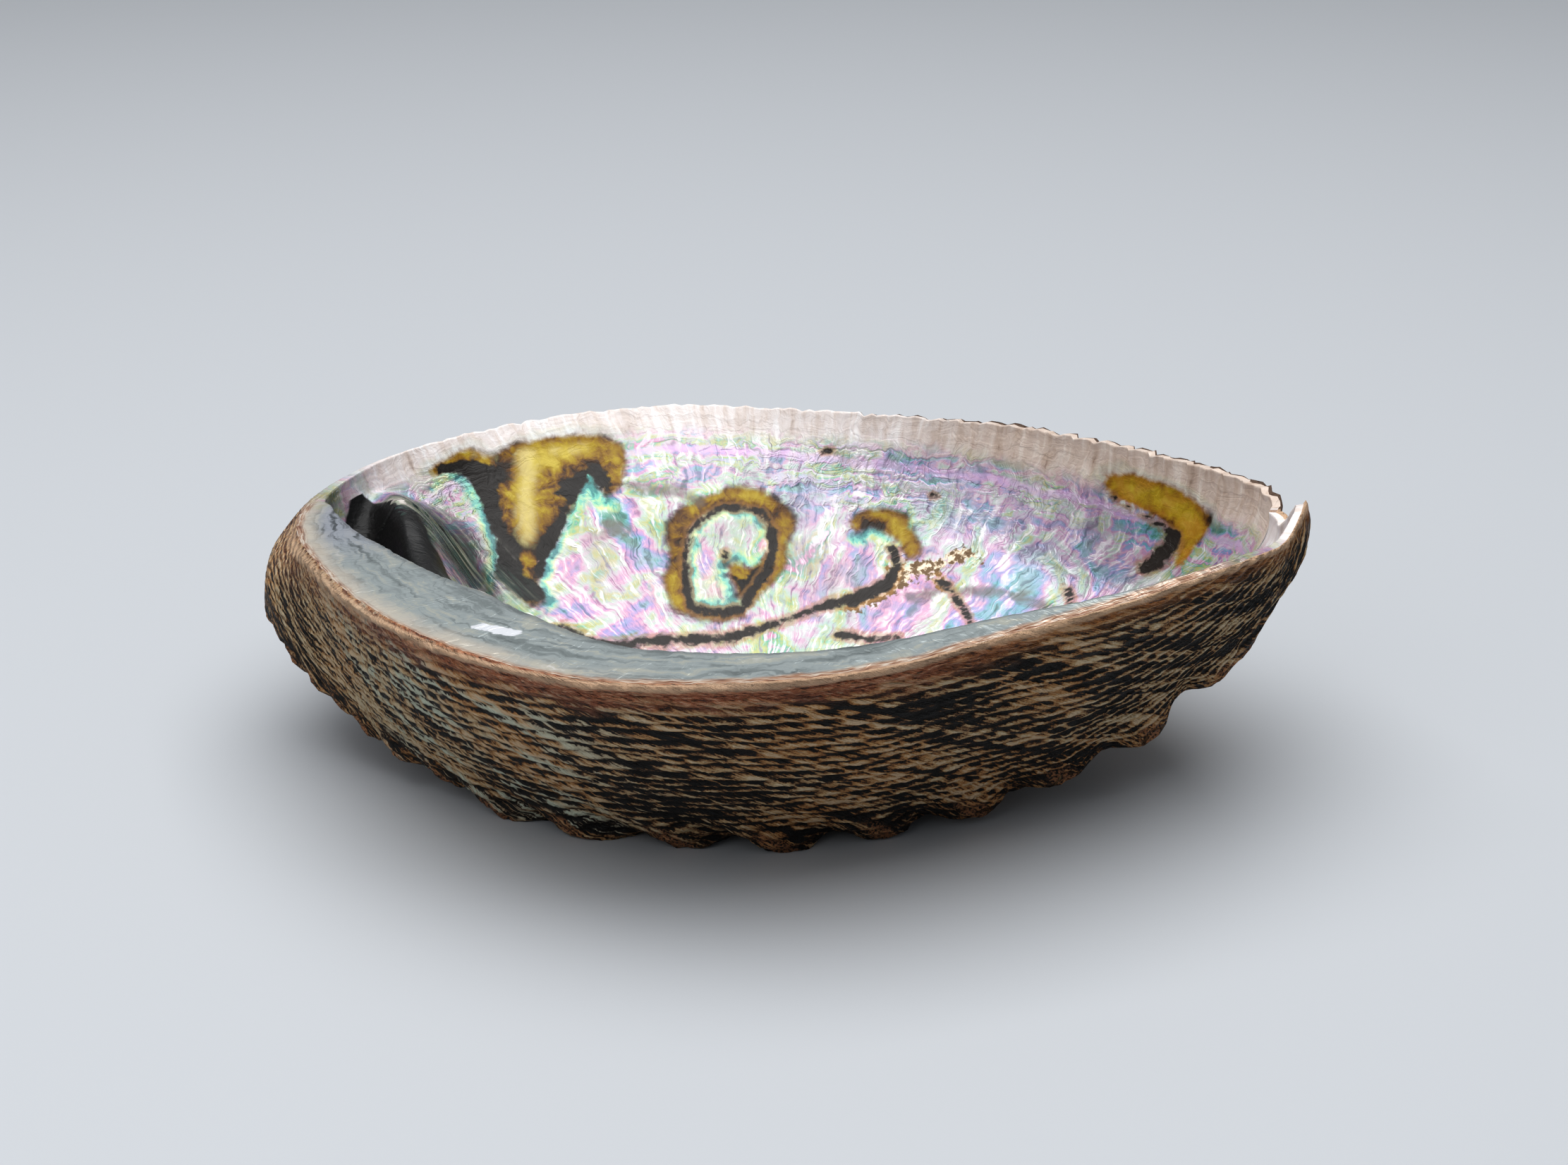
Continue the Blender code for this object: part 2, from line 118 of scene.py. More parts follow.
# Marks on the far wall of the bowl, across and up in millimetres. Outlines are closed shapes, and strokes are
# (half width, points). Islands are places where nacre has grown over the marks again.
AMBER_OUTLINES = [
    [(-58.0, 30.5), (-55.5, 32.0), (-51.5, 33.0), (-47.5, 31.5), (-44.5, 32.5), (-39.5, 33.2), (-34.5, 33.4),
     (-29.5, 33.0), (-25.5, 31.5), (-25.0, 28.5), (-26.0, 26.0), (-28.5, 25.0), (-32.5, 24.5), (-35.0, 22.5),
     (-37.0, 19.5), (-38.5, 17.5), (-37.0, 14.5), (-38.5, 12.0), (-41.5, 12.5), (-45.0, 15.5), (-45.5, 19.0),
     (-47.5, 23.5), (-49.5, 27.0), (-52.5, 29.2), (-55.0, 28.0)],
    [(-18.0, 22.0), (-15.5, 24.0), (-12.5, 25.2), (-9.0, 26.2), (-6.0, 26.6), (-2.5, 26.3), (0.0, 25.0),
     (3.0, 23.0), (3.5, 21.5), (2.0, 19.0), (2.0, 16.5), (0.0, 14.5), (-2.0, 13.0), (-4.0, 11.5),
     (-6.0, 10.2), (-10.5, 10.0), (-14.5, 10.6), (-17.0, 11.2), (-18.2, 13.0), (-19.0, 14.8), (-17.6, 17.0),
     (-18.2, 20.0)],
    [(12.0, 22.0), (13.5, 23.5), (16.5, 24.2), (20.0, 24.0), (22.2, 23.2), (22.4, 22.0), (23.6, 20.5),
     (24.2, 18.5), (22.0, 17.4), (20.5, 18.8), (19.0, 20.2), (17.0, 20.8), (14.5, 20.5), (12.5, 21.0)],
    [(53.0, 33.5), (56.0, 35.0), (60.0, 35.4), (63.5, 35.0), (66.0, 34.2), (67.8, 33.0), (68.6, 31.0),
     (68.0, 29.2), (66.6, 27.5), (66.0, 25.5), (65.4, 23.0), (63.8, 21.0), (62.2, 20.6), (62.5, 24.0),
     (63.5, 26.8), (63.0, 28.5), (61.0, 29.5), (57.5, 29.8), (54.5, 30.5), (53.0, 32.0)],
]
BLACK_OUTLINES = [
    [(-56.5, 31.0), (-54.0, 31.4), (-50.0, 31.0), (-47.2, 30.2), (-45.5, 28.5), (-46.2, 27.0), (-45.6, 24.5),
     (-45.0, 22.0), (-42.2, 19.0), (-41.4, 16.5), (-39.2, 15.0), (-38.0, 13.0), (-41.5, 13.0), (-45.0, 15.5),
     (-46.5, 17.0), (-45.8, 19.5), (-47.2, 22.5), (-49.6, 26.0), (-52.0, 28.6), (-55.2, 28.8)],
    [(-36.5, 26.5), (-32.5, 28.5), (-30.0, 29.2), (-27.5, 27.6), (-28.0, 26.0), (-29.0, 25.8), (-32.5, 24.5),
     (-34.5, 24.0), (-35.0, 22.0), (-36.8, 19.0), (-38.0, 17.0), (-38.0, 14.0), (-39.6, 16.5), (-39.2, 18.5),
     (-38.6, 20.5), (-37.0, 22.0), (-35.6, 23.5), (-35.2, 25.0), (-37.0, 25.6)],
    [(-7.2, 15.6), (-5.6, 15.0), (-4.2, 15.8), (-2.6, 16.6), (-1.8, 15.6), (-3.2, 14.4), (-4.4, 13.4),
     (-5.4, 13.2), (-6.4, 14.2)],
]
ISLAND_OUTLINES = [
    [(-55.0, 29.6), (-52.0, 29.2), (-50.0, 26.8), (-47.6, 23.4), (-45.8, 20.0), (-46.0, 17.0), (-46.6, 14.0),
     (-48.0, 10.0), (-52.0, 12.0), (-55.0, 18.0), (-57.0, 24.0), (-58.0, 27.0), (-56.5, 28.6)],
    [(-31.5, 28.0), (-32.5, 26.5), (-33.2, 24.5), (-34.2, 22.5), (-35.0, 20.6), (-37.4, 18.5), (-38.4, 16.0),
     (-38.4, 13.8), (-36.6, 11.5), (-34.0, 10.0), (-30.0, 8.6), (-25.0, 7.8), (-21.5, 9.0), (-21.0, 17.0),
     (-23.0, 22.5), (-27.0, 24.2), (-29.2, 25.5), (-30.6, 27.5)],
    [(-14.6, 18.0), (-14.4, 20.4), (-12.6, 22.2), (-9.6, 23.5), (-5.6, 23.6), (-2.8, 22.8), (-1.5, 21.3),
     (-1.5, 19.0), (-2.5, 17.5), (-4.5, 16.6), (-5.8, 17.2), (-8.0, 17.0), (-8.2, 15.4), (-7.0, 13.8),
     (-6.5, 12.6), (-4.6, 12.8), (-5.6, 11.6), (-8.6, 11.2), (-12.0, 11.5), (-13.6, 11.8), (-14.6, 13.6),
     (-14.8, 16.0)],
    [(13.5, 20.5), (16.0, 21.6), (18.0, 20.6), (19.2, 19.0), (19.2, 16.5), (17.5, 14.6), (14.5, 13.2),
     (10.0, 12.8), (7.5, 14.5), (9.5, 18.5)],
]
BLACK_STROKES = [
    (0.45, [(-15.0, 18.0), (-14.9, 14.0), (-14.0, 11.7), (-12.0, 11.0), (-8.5, 10.9), (-5.5, 11.4)]),
    (0.8, [(-5.0, 12.0), (-3.4, 14.0), (-1.4, 16.0), (-0.5, 18.5), (-0.8, 21.0)]),
    (0.3, [(-14.7, 19.0), (-14.2, 21.0), (-12.0, 22.6), (-9.0, 23.7), (-5.5, 23.8), (-2.5, 23.2),
           (-0.9, 21.4)]),
    (0.5, [(-37.0, 9.6), (-32.0, 8.2), (-26.0, 7.6), (-20.0, 8.0), (-14.5, 8.1), (-8.5, 8.2), (-3.5, 9.0)]),
    (0.8, [(-35.0, 9.6), (-31.0, 8.2)]),
    (0.45, [(-3.5, 9.0), (0.0, 9.8), (5.0, 11.0), (8.0, 11.8)]),
    (0.8, [(8.0, 11.8), (10.0, 12.2), (15.0, 13.2), (18.5, 14.6), (20.0, 17.0), (19.2, 19.0)]),
    (0.55, [(26.5, 15.6), (28.5, 14.4), (30.0, 13.0), (31.5, 11.2)]),
    (0.8, [(63.3, 28.0), (62.5, 26.0), (60.5, 24.0), (58.5, 22.2)]),
    (0.3, [(54.0, 31.2), (55.5, 30.0), (59.0, 29.2), (62.4, 28.4)]),
    (0.5, [(47.0, 16.8), (47.6, 15.6)]),
    (0.5, [(7.8, 31.4), (9.4, 31.7)]),
    (0.35, [(26.0, 26.5), (26.2, 26.3)]),
    (0.45, [(-8.5, 18.0), (-8.3, 17.9)]),
    (0.4, [(10.0, 8.8), (15.0, 8.4), (20.0, 8.8)]),
]
CORE_STROKES = [
    (1.6, [(-41.5, 31.0), (-41.6, 28.5), (-42.0, 26.5), (-41.6, 24.0), (-41.0, 21.0)]),
    (0.8, [(-37.5, 31.5), (-35.0, 31.0), (-32.0, 31.4)]),
    (0.6, [(-52.0, 32.0), (-48.0, 30.8)]),
]
SMOKE_STROKES = [
    (0.9, [(-24.5, 26.6), (-21.0, 26.2), (-17.0, 25.6), (-13.0, 24.6)]),
    (0.7, [(22.0, 13.2), (27.0, 14.2), (36.0, 15.0), (44.0, 14.4)]),
    (0.8, [(-28.0, 21.5), (-24.5, 21.0)]),
]
SAND_STROKES = [
    (1.0, [(19.5, 16.0), (21.5, 16.5), (25.0, 16.8), (27.5, 17.6), (30.5, 19.0), (32.5, 18.6)]),
    (0.9, [(21.5, 15.4), (18.5, 14.0), (16.0, 13.0), (12.5, 12.0)]),
    (0.8, [(25.5, 16.6), (27.0, 15.0)]),
]

# The hollow under the spire, painted black as shade, in plan, across and back in millimetres.
HOLLOW_SHADE_OUTLINE = [(-68.0, 33.0), (-62.0, 30.0), (-57.5, 26.5), (-53.5, 19.0), (-49.0, 8.0), (-46.0, -2.0),
                  (-50.0, -12.0), (-60.0, -4.0), (-67.0, 8.0), (-70.0, 22.0)]

# The worn white chip on the shelf's edge, in plan too.
CHIP = [(1.3, [(-41.2, -36.8), (-38.4, -38.2), (-36.4, -39.2)])]

# Soft washes of colour in the nacre, as (across, up, reach, strength, red, green, blue), in millimetres.
WASHES = [
    (-52.0, 22.0, 5.0, 0.9, 0.52, 0.46, 0.44),
    (-33.0, 16.0, 6.0, 0.9, 0.84, 0.60, 0.72),
    (-29.0, 21.0, 3.0, 0.8, 0.46, 0.44, 0.34),
    (-24.0, 15.0, 6.0, 0.8, 0.86, 0.66, 0.80),
    (-31.0, 26.6, 2.4, 1.0, 0.34, 0.46, 0.42),
    (-18.0, 30.0, 9.0, 0.8, 0.80, 0.80, 0.84),
    (-4.0, 29.0, 6.0, 0.7, 0.66, 0.80, 0.70),
    (-7.0, 20.5, 4.0, 1.0, 0.52, 0.60, 0.50),
    (-11.0, 14.0, 3.4, 1.0, 0.82, 0.72, 0.52),
    (6.0, 19.0, 6.0, 0.9, 0.70, 0.44, 0.62),
    (11.0, 15.5, 6.0, 0.8, 0.74, 0.66, 0.66),
    (8.0, 26.0, 8.0, 0.8, 0.62, 0.78, 0.86),
    (14.0, 30.0, 8.0, 0.7, 0.82, 0.74, 0.86),
    (30.0, 24.0, 8.0, 0.9, 0.56, 0.80, 0.90),
    (30.0, 30.0, 8.0, 0.6, 0.86, 0.86, 0.88),
    (42.0, 20.0, 8.0, 0.8, 0.60, 0.74, 0.90),
    (44.0, 28.0, 8.0, 0.7, 0.80, 0.68, 0.84),
    (38.0, 12.0, 7.0, 0.8, 0.62, 0.78, 0.76),
    (54.0, 25.0, 6.0, 0.9, 0.56, 0.52, 0.60),
    (56.0, 20.0, 5.0, 0.8, 0.50, 0.72, 0.70),
    (22.0, 11.0, 6.0, 0.9, 0.86, 0.56, 0.70),
    (8.0, 9.0, 6.0, 0.8, 0.48, 0.74, 0.68),
    (-14.0, 5.0, 8.0, 0.8, 0.94, 0.92, 0.94),
    (66.0, 33.0, 4.0, 0.7, 0.90, 0.74, 0.78),
    (-42.0, 8.0, 6.0, 0.8, 0.30, 0.62, 0.56),
]


def smooth(share):
    """0 before 0, 1 after 1, and an easy S between."""
    share = np.clip(share, 0.0, 1.0)
    return share * share * (3.0 - 2.0 * share)


def round_curve(knots, values, at):
    """A smooth closed curve through values at increasing knots in degrees, read at the angles in at."""
    knots, values = np.asarray(knots, float), np.asarray(values, float)
    order = np.argsort(knots)
    knots, values = knots[order], values[order]
    wide = np.concatenate([knots[-2:] - 360.0, knots, knots[:2] + 360.0])
    tall = np.concatenate([values[-2:], values, values[:2]])
    slopes = (tall[2:] - tall[:-2]) / (wide[2:] - wide[:-2])
    at = np.mod(np.asarray(at, float) - knots[0], 360.0) + knots[0]
    i = np.clip(np.searchsorted(wide, at, side="right") - 1, 1, len(wide) - 3)
    span = wide[i + 1] - wide[i]
    t = (at - wide[i]) / span
    start, end = tall[i], tall[i + 1]
    rise, fall = slopes[i - 1] * span, slopes[i] * span
    return (
        (2 * t**3 - 3 * t**2 + 1) * start + (t**3 - 2 * t**2 + t) * rise
        + (3 * t**2 - 2 * t**3) * end + (t**3 - t**2) * fall
    )


def outline_reach(points, directions):
    """How far a closed outline in plan is from the middle along each direction, in metres."""
    x, y = (np.array(points, float)[:, :2] * MM - np.array(MIDDLE)).T
    return round_curve(np.mod(np.degrees(np.arctan2(y, x)), 360.0), np.hypot(x, y), directions)


def rim_profile(directions):
    """(reach, height) of the rim in the half-plane of each direction, in metres."""
    x, y = (np.array(RIM, float)[:, :2] * MM - np.array(MIDDLE)).T
    heights = np.array(RIM, float)[:, 2] * MM
    height = round_curve(np.mod(np.degrees(np.arctan2(y, x)), 360.0), heights, directions)
    return np.stack([outline_reach(RIM, directions), height], axis=-1)


def even_directions(count):
    """Directions from the middle, in degrees, that share out the rim's length, closer where it is crowded."""
    fine = np.linspace(0.0, 360.0, 1441)
    rim = outline_reach(RIM, fine)
    turn = np.radians(fine)
    places = np.stack([rim * np.cos(turn), rim * np.sin(turn)], axis=-1)
    crowd = round_curve(*zip(*CROWDING), 0.5 * (fine[1:] + fine[:-1]))
    walked = np.concatenate([[0.0], np.cumsum(crowd * np.linalg.norm(np.diff(places, axis=0), axis=1))])
    return np.interp(np.arange(count) / count * walked[-1], walked, fine)


def dome(x, y):
    """Height of the back over a place in plan, before it is worn and before the spire is added."""
    height = np.full(np.shape(x), -WORN_DEPTH)
    for along, (distance, rise, power) in (
        (LOWEST[0] - x, DOME_BACKWARD), (x - LOWEST[0], DOME_FORWARD),
        (y - LOWEST[1], DOME_LIPWARD), (LOWEST[1] - y, DOME_RIDGEWARD),
    ):
        height = height + rise * (np.maximum(along, 0.0) / distance) ** power
    return height


def dome_profile(reach, directions):
    """Height of the back at distances from the middle along each direction."""
    turn = np.radians(directions).reshape((-1,) + (1,) * (np.ndim(reach) - 1))
    return dome(MIDDLE[0] + reach * np.cos(turn), MIDDLE[1] + reach * np.sin(turn))


def heading(slope):
    return np.stack([np.cos(slope), np.sin(slope)], axis=-1)


def arc(start, start_slope, end, end_slope, shares):
    """Points at shares of the way, in every half-plane at once, on a curve that keeps both end slopes."""
    pull = 0.36 * np.linalg.norm(end - start, axis=-1)[:, None]
    first = start + pull * heading(start_slope)
    second = end - pull * heading(end_slope)
    t = shares[..., None]
    a, b, c, d = (p[:, None, :] for p in (start, first, second, end))
    return (1 - t) ** 3 * a + 3 * (1 - t) ** 2 * t * b + 3 * (1 - t) * t**2 * c + t**3 * d


def even_shares(steps):
    return (np.arange(1, steps + 1) / steps)[None, :]


def line(start, end, steps):
    t = (np.arange(1, steps + 1) / steps)[None, :, None]
    return start[:, None, :] * (1 - t) + end[:, None, :] * t


def ridge_share(directions):
    """1 where the shoulder is the pore ridge, 0 where the back simply turns up."""
    turn = np.mod(directions, 360.0)
    return smooth((turn - RIDGE_FROM) / RIDGE_FADE) * smooth((RIDGE_TO - turn) / RIDGE_FADE)


def outward_shares(steps):
    """Shares of the way from the middle to the shoulder, closer together towards the shoulder."""
    return 1.0 - (1.0 - np.arange(1, steps + 1) / steps) ** 1.25


def fold_crest(directions):
    """(how far out, how high) the crest of the fold is in each direction, in metres."""
    at, reach, height = zip(*FOLD)
    return round_curve(at, reach, directions) * MM, round_curve(at, height, directions) * MM


def fold_lift(profile, directions, hollow_side, below):
    """How much the fold lifts each point of the profiles, for a surface that lies below the bowl's."""
    reach, height = fold_crest(directions)
    gap = profile[..., 0] - reach[:, None]
    share = np.exp(-((gap / np.where(gap > 0, hollow_side, FOLD_BOWL_SIDE)) ** 2))
    return share * np.maximum(height[:, None] - below - profile[..., 1], 0.0)


def floor_shares(reach, directions):
    """Shares for the bowl's floor, drawn in or out so that one of them rides on the crest of the fold."""
    shares = outward_shares(FLOOR_STEPS)
    riding = shares[np.argmin(np.abs(shares - FOLD_SHARE))]
    turn = np.mod(directions, 360.0)
    present = smooth((turn - FOLD_FROM) / FOLD_FADE) * smooth((FOLD_TO - turn) / FOLD_FADE)
    crest = np.minimum(fold_crest(directions)[0] / reach, FOLD_SHARE_MOST)
    crest = riding + present * (crest - riding)
    within = crest[:, None] * shares / riding
    beyond = 1.0 - (1.0 - crest[:, None]) * (1.0 - shares) / (1.0 - riding)
    return np.where(shares <= riding, within, beyond)


def shell_profiles(directions):
    """Outer and inner profiles, from the middle of the back over the rim to the middle of the bowl."""
    rim, reach = rim_profile(directions), outline_reach(SHOULDER, directions)
    step = 0.2 * MM
    shoulder = np.stack([reach, dome_profile(reach, directions)], axis=-1)
    rise = dome_profile(reach + step, directions) - dome_profile(reach - step, directions)
    arriving = np.arctan(rise / (2 * step))
    side = rim - shoulder
    chord = np.arctan2(side[:, 1], side[:, 0])
    ridge = ridge_share(directions)
    bulge = np.minimum(chord - arriving, ridge * RIDGE_BULGE + (1 - ridge) * ROUND_BULGE)
    leaving, top = chord - bulge, chord + bulge

    back = reach[:, None] * outward_shares(BACK_STEPS)
    back = np.stack([back, dome_profile(back, directions)], axis=-1)
    wall = arc(shoulder, leaving, rim, top, even_shares(WALL_STEPS))

    at, width = zip(*SHELF)
    width = np.interp(np.mod(directions, 360.0), at, np.array(width) * MM)
    shelved = smooth(width / (4.0 * MM))
    drop = LIP_WALL + 1.0 * MM + (SHELF_THICK + 2.0 * MM) * shelved
    curved_length = 1.08 * np.linalg.norm(side, axis=-1)
    below_rim = 1.0 - (drop / curved_length)[:, None] + np.array([[-0.01, 0.0, 0.01]])
    near_root = arc(shoulder, leaving, rim, top, below_rim)
    root_slope = np.arctan2(*(near_root[:, 2] - near_root[:, 0]).T[::-1])
    root = near_root[:, 1] + (LIP_WALL + SHELF_ROOT * shelved)[:, None] * heading(root_slope + 0.5 * np.pi)
    lip = rim + LIP_WALL * heading(top + 0.5 * np.pi)
    under = lip - LIP_WALL * heading(top)
    shelf_lip = rim + np.stack([-(LIP_WALL + width), 0.25 * LIP_WALL + 0.05 * width], axis=-1)
    shelf_under = shelf_lip - np.array([0.1 * MM, LIP_WALL + SHELF_THICK])
    lip += shelved[:, None] * (shelf_lip - lip)
    under += shelved[:, None] * (shelf_under - under)
    middle_slope = 0.5 * (arriving + leaving)
    corner = SHOULDER_WALL / np.cos(0.5 * (leaving - arriving))
    shoulder_in = shoulder + corner[:, None] * np.stack(
        [-np.sin(middle_slope), np.cos(middle_slope)], axis=-1)

    edge = line(rim, lip, EDGE_STEPS)
    nose = line(lip, under, NOSE_STEPS)
    shelter = line(under, root, SHELTER_STEPS)
    inner_wall = arc(shoulder_in, leaving, root, root_slope, even_shares(INNER_STEPS))[:, ::-1]
    inner_wall = np.concatenate([inner_wall[:, 1:], shoulder_in[:, None, :]], axis=1)
    inwards = floor_shares(shoulder_in[:, 0], directions)[:, -2::-1]
    floor = shoulder_in[:, :1] * inwards
    lifted = shoulder_in[:, 1] - dome_profile(shoulder_in[:, 0], directions) - BACK_WALL
    height = dome_profile(floor, directions) + BACK_WALL + lifted[:, None] * inwards**4
    floor = np.stack([floor, height], axis=-1)

    outside = np.concatenate([back, wall], axis=1)
    outside[..., 1] += SUTURE_SHARE * fold_lift(outside, directions, SUTURE_SPIRE_SIDE, BACK_WALL)
    inside = np.concatenate([inner_wall, floor], axis=1)
    below_root = np.clip(np.arange(1, inside.shape[1] + 1) / INNER_STEPS, 0.0, 1.0)
    open_side = 1.0 - shelved[:, None] * (1.0 - below_root)
    inside[..., 1] += open_side * fold_lift(inside, directions, FOLD_HOLLOW_SIDE, 0.0)
    return np.concatenate([outside, edge, nose, shelter, inside], axis=1)


def in_space(profiles, directions):
    """Profile points as positions in space, one row for each profile."""
    turn = np.radians(directions)[:, None]
    return np.stack(
        [MIDDLE[0] + profiles[..., 0] * np.cos(turn), MIDDLE[1] + profiles[..., 0] * np.sin(turn),
         profiles[..., 1]],
        axis=-1,
    )


def ridge_line(directions):
    """Places of the shoulder in space."""
    directions = np.atleast_1d(directions)
    reach = outline_reach(SHOULDER, directions)
    return in_space(np.stack([reach, dome_profile(reach, directions)], axis=-1)[:, None], directions)[:, 0]


def ridge_knobs():
    """Every knob along the pore ridge from the newest back: (direction, place, way it points, spacing)."""
    fine = np.linspace(NEWEST_KNOB, 165.0, 801)
    line_places = ridge_line(fine)
    walked = np.concatenate([[0.0], np.cumsum(np.linalg.norm(np.diff(line_places, axis=0), axis=1))])
    knobs = []
    along = 0.0
    while along < walked[-1]:
        direction = float(np.interp(along, walked, fine))
        place = ridge_line(direction)[0]
        turn = math.radians(direction)
        away = np.array([math.cos(turn), math.sin(turn), -1.2])
        from_tip = math.hypot(place[0] - APEX[0], place[1] - APEX[1])
        spacing = min(KNOB_SPACING_SHARE * from_tip, KNOB_SPACING_MOST)
        knobs.append((direction, place, away / np.linalg.norm(away), spacing))
        along += spacing
    return knobs


# ---------------------------------------------------------------------------------------------------
# What the relief and the colours follow: numbers kept on every point of the wall.


def stroke_gap(across, up, strokes):
    """How far each point is from the nearest stroke's edge, in millimetres, and negative inside it."""
    gap = np.full(across.shape, 60.0)
    for half_width, points in strokes:
        for start, end in zip(points[:-1], points[1:]):
            ax, ay, bx, by = start[0], WALL_LEAN * start[1], end[0], WALL_LEAN * end[1]
            dx, dy = bx - ax, by - ay
            t = np.clip(((across - ax) * dx + (up - ay) * dy) / (dx * dx + dy * dy), 0.0, 1.0)
            gap = np.minimum(gap, np.hypot(across - ax - t * dx, up - ay - t * dy) - half_width)
    return gap


def outline_gap(across, up, outlines):
    """How far each point is from the nearest closed outline, in millimetres, and negative inside one."""
    gap = np.full(across.shape, 60.0)
    for outline in outlines:
        corners = np.array(outline) * np.array([1.0, WALL_LEAN])
        before, after, beyond = (np.roll(corners, turns, axis=0) for turns in (1, -1, -2))
        points = []
        for t in (0.0, 1 / 3, 2 / 3):
            points.append(0.5 * (2 * corners + t * (after - before)
                                 + t * t * (2 * before - 5 * corners + 4 * after - beyond)
                                 + t ** 3 * (3 * corners - 3 * after + beyond - before)))
        points = np.stack(points, axis=1).reshape(-1, 2)
        edge, inside = np.full(across.shape, 60.0), np.zeros(across.shape, bool)
        for (ax, ay), (bx, by) in zip(points, np.roll(points, -1, axis=0)):
            dx, dy = bx - ax, by - ay
            t = np.clip(((across - ax) * dx + (up - ay) * dy) / (dx * dx + dy * dy), 0.0, 1.0)
            edge = np.minimum(edge, np.hypot(across - ax - t * dx, up - ay - t * dy))
            if ay != by:
                inside ^= ((ay > up) != (by > up)) & (across < ax + (up - ay) * dx / dy)
        gap = np.minimum(gap, np.where(inside, -edge, edge))
    return gap


def along_rows(places):
    """Distance walked down each profile, from its first point, in metres."""
    steps = np.linalg.norm(np.diff(places, axis=1), axis=-1)
    return np.concatenate([np.zeros((len(places), 1)), np.cumsum(steps, axis=1)], axis=1)


def growth_numbers(directions, places):
    """The cords, growth lines, ridge, rim and marks as fields over the wall: {name: values}."""
    turn = np.mod(directions, 360.0)[:, None]
    walked = along_rows(places)
    shoulder_row, rim_row = BACK_STEPS - 1, BACK_STEPS + WALL_STEPS - 1
    above_ridge = (walked - walked[:, shoulder_row:shoulder_row + 1]) / MM
    from_rim = np.abs(walked - walked[:, rim_row:rim_row + 1]) / MM

    ridge = places[:, shoulder_row]
    ridge_walk = np.concatenate([[0.0], np.cumsum(np.linalg.norm(np.diff(ridge, axis=0), axis=1))]) / MM
    ridge_walk = (ridge_walk - np.interp(NEWEST_KNOB, directions, ridge_walk))[:, None]

    east, north = (places[..., 0] - APEX[0]) / MM, (places[..., 1] - APEX[1]) / MM
    from_apex = np.maximum(np.hypot(east, north), 0.5)
    bearing = np.arctan2(north, east)
    step = np.log(from_apex) - SPIRAL_PITCH * bearing
    back_cords = CORDS_PER_STEP * step
    back_rings = 170.0 * (bearing + 0.17 + RING_LEAN * (step - 5.05))

    at, width = zip(*CORD_WIDTHS)
    cord_width = np.interp(turn, at, width)
    near_cords = RIDGE_CORD + above_ridge / np.where(above_ridge > 0, cord_width, 2.1)
    near_rings = ridge_walk + 1.4 * above_ridge
    near = (turn > 160.0) * smooth((358.0 - turn) / 16.0)
    near = near * (1.0 - smooth((-above_ridge - 3.0) / 8.0))
    cords = near * near_cords + (1.0 - near) * back_cords
    rings = near * near_rings + (1.0 - near) * back_rings
    switch = np.abs(turn - 160.0) * np.hypot(*(places[..., :2] - np.array(MIDDLE)).T).T / MM * math.pi / 180
    clear = smooth((switch - 1.5) / 4.0)
    clear = np.where(above_ridge < -2.0, clear * smooth((from_apex - 16.0) / 12.0), clear)
    spread = from_apex / (CORDS_PER_STEP * 1.56)
    spread = near * cord_width + (1.0 - near) * spread
    raised = clear * smooth((spread - 0.9) / 0.6)

    knobs = ridge_knobs()
    knob_turns = np.array([k[0] for k in knobs])
    spacing = np.interp(turn, knob_turns[::-1], np.array([k[3] for k in knobs])[::-1]) / MM
    knob_step = np.interp(turn, knob_turns[::-1], np.arange(len(knobs))[::-1].astype(float))
    knob_step = knob_step - 0.8 * above_ridge / spacing
    on_ridge = smooth((turn - 163.0) / 6.0) * smooth((352.0 - turn) / 4.0)
    on_ridge = on_ridge * np.exp(-((above_ridge / (0.44 * spacing)) ** 2))

    rim_walk = np.concatenate(
        [[0.0], np.cumsum(np.linalg.norm(np.diff(places[:, rim_row], axis=0), axis=1))])[:, None] / MM
    crimped = smooth((150.0 - turn) / 16.0) + smooth((turn - 352.0) / 8.0)
    outward = np.stack([np.cos(np.radians(turn)), np.sin(np.radians(turn)), 0 * turn], axis=-1)
    ones = np.ones_like(above_ridge)

    row = np.arange(places.shape[1])[None, :]
    inside = (row > rim_row) * ones
    centre_x, centre_y = box_middle(places)
    across, back = (places[..., 0] - centre_x) / MM, (places[..., 1] - centre_y) / MM
    beside = np.maximum(16.0 - back, 0.0)
    up = WALL_LEAN * places[..., 2] / MM
    under_shelf = inside * (places[..., 2] < UNDER_SHELF)
    # Points of the hollow under the spire, which the nacre paints black as shade.
    hollow = smooth(0.5 - outline_gap(across, WALL_LEAN * back, [HOLLOW_SHADE_OUTLINE]) / 2.0) * under_shelf
    chip = stroke_gap(across, WALL_LEAN * back, CHIP)
    island = outline_gap(across, up, ISLAND_OUTLINES)
    amber = np.maximum(outline_gap(across, up, AMBER_OUTLINES), -island) + beside
    black = np.maximum(outline_gap(across, up, BLACK_OUTLINES), -island) + beside
    return {
        "cords": cords,
        "rings": rings,
        "clear": clear,
        "raised": raised * (1.0 - inside),
        "above_ridge": above_ridge,
        "from_rim": from_rim,
        "knob_step": knob_step * ones,
        "knob_spacing": spacing * ones,
        "on_ridge": on_ridge * (1.0 - inside),
        "rim_cords": cords[:, rim_row:rim_row + 1] * ones,
        "crimped": crimped * np.exp(-from_rim / 5.0),
        "outward": outward * ones[..., None],
        "inside": inside,
        "hollow": hollow,
        "chip": chip + np.where(places[..., 2] < UNDER_SHELF, 9.0, 0.0),
        "turn": turn * ones,
        "rim_walk": rim_walk * ones,
        "amber": amber,
        "island": island,
        "black": black,
        "core": stroke_gap(across, up, CORE_STROKES) + beside,
        "lines": stroke_gap(across, up, BLACK_STROKES) + beside,
        "smoke": stroke_gap(across, up, SMOKE_STROKES) + beside,
        "sand": stroke_gap(across, up, SAND_STROKES) + beside,
        "wash": wash_colours(across, up, beside),
    }


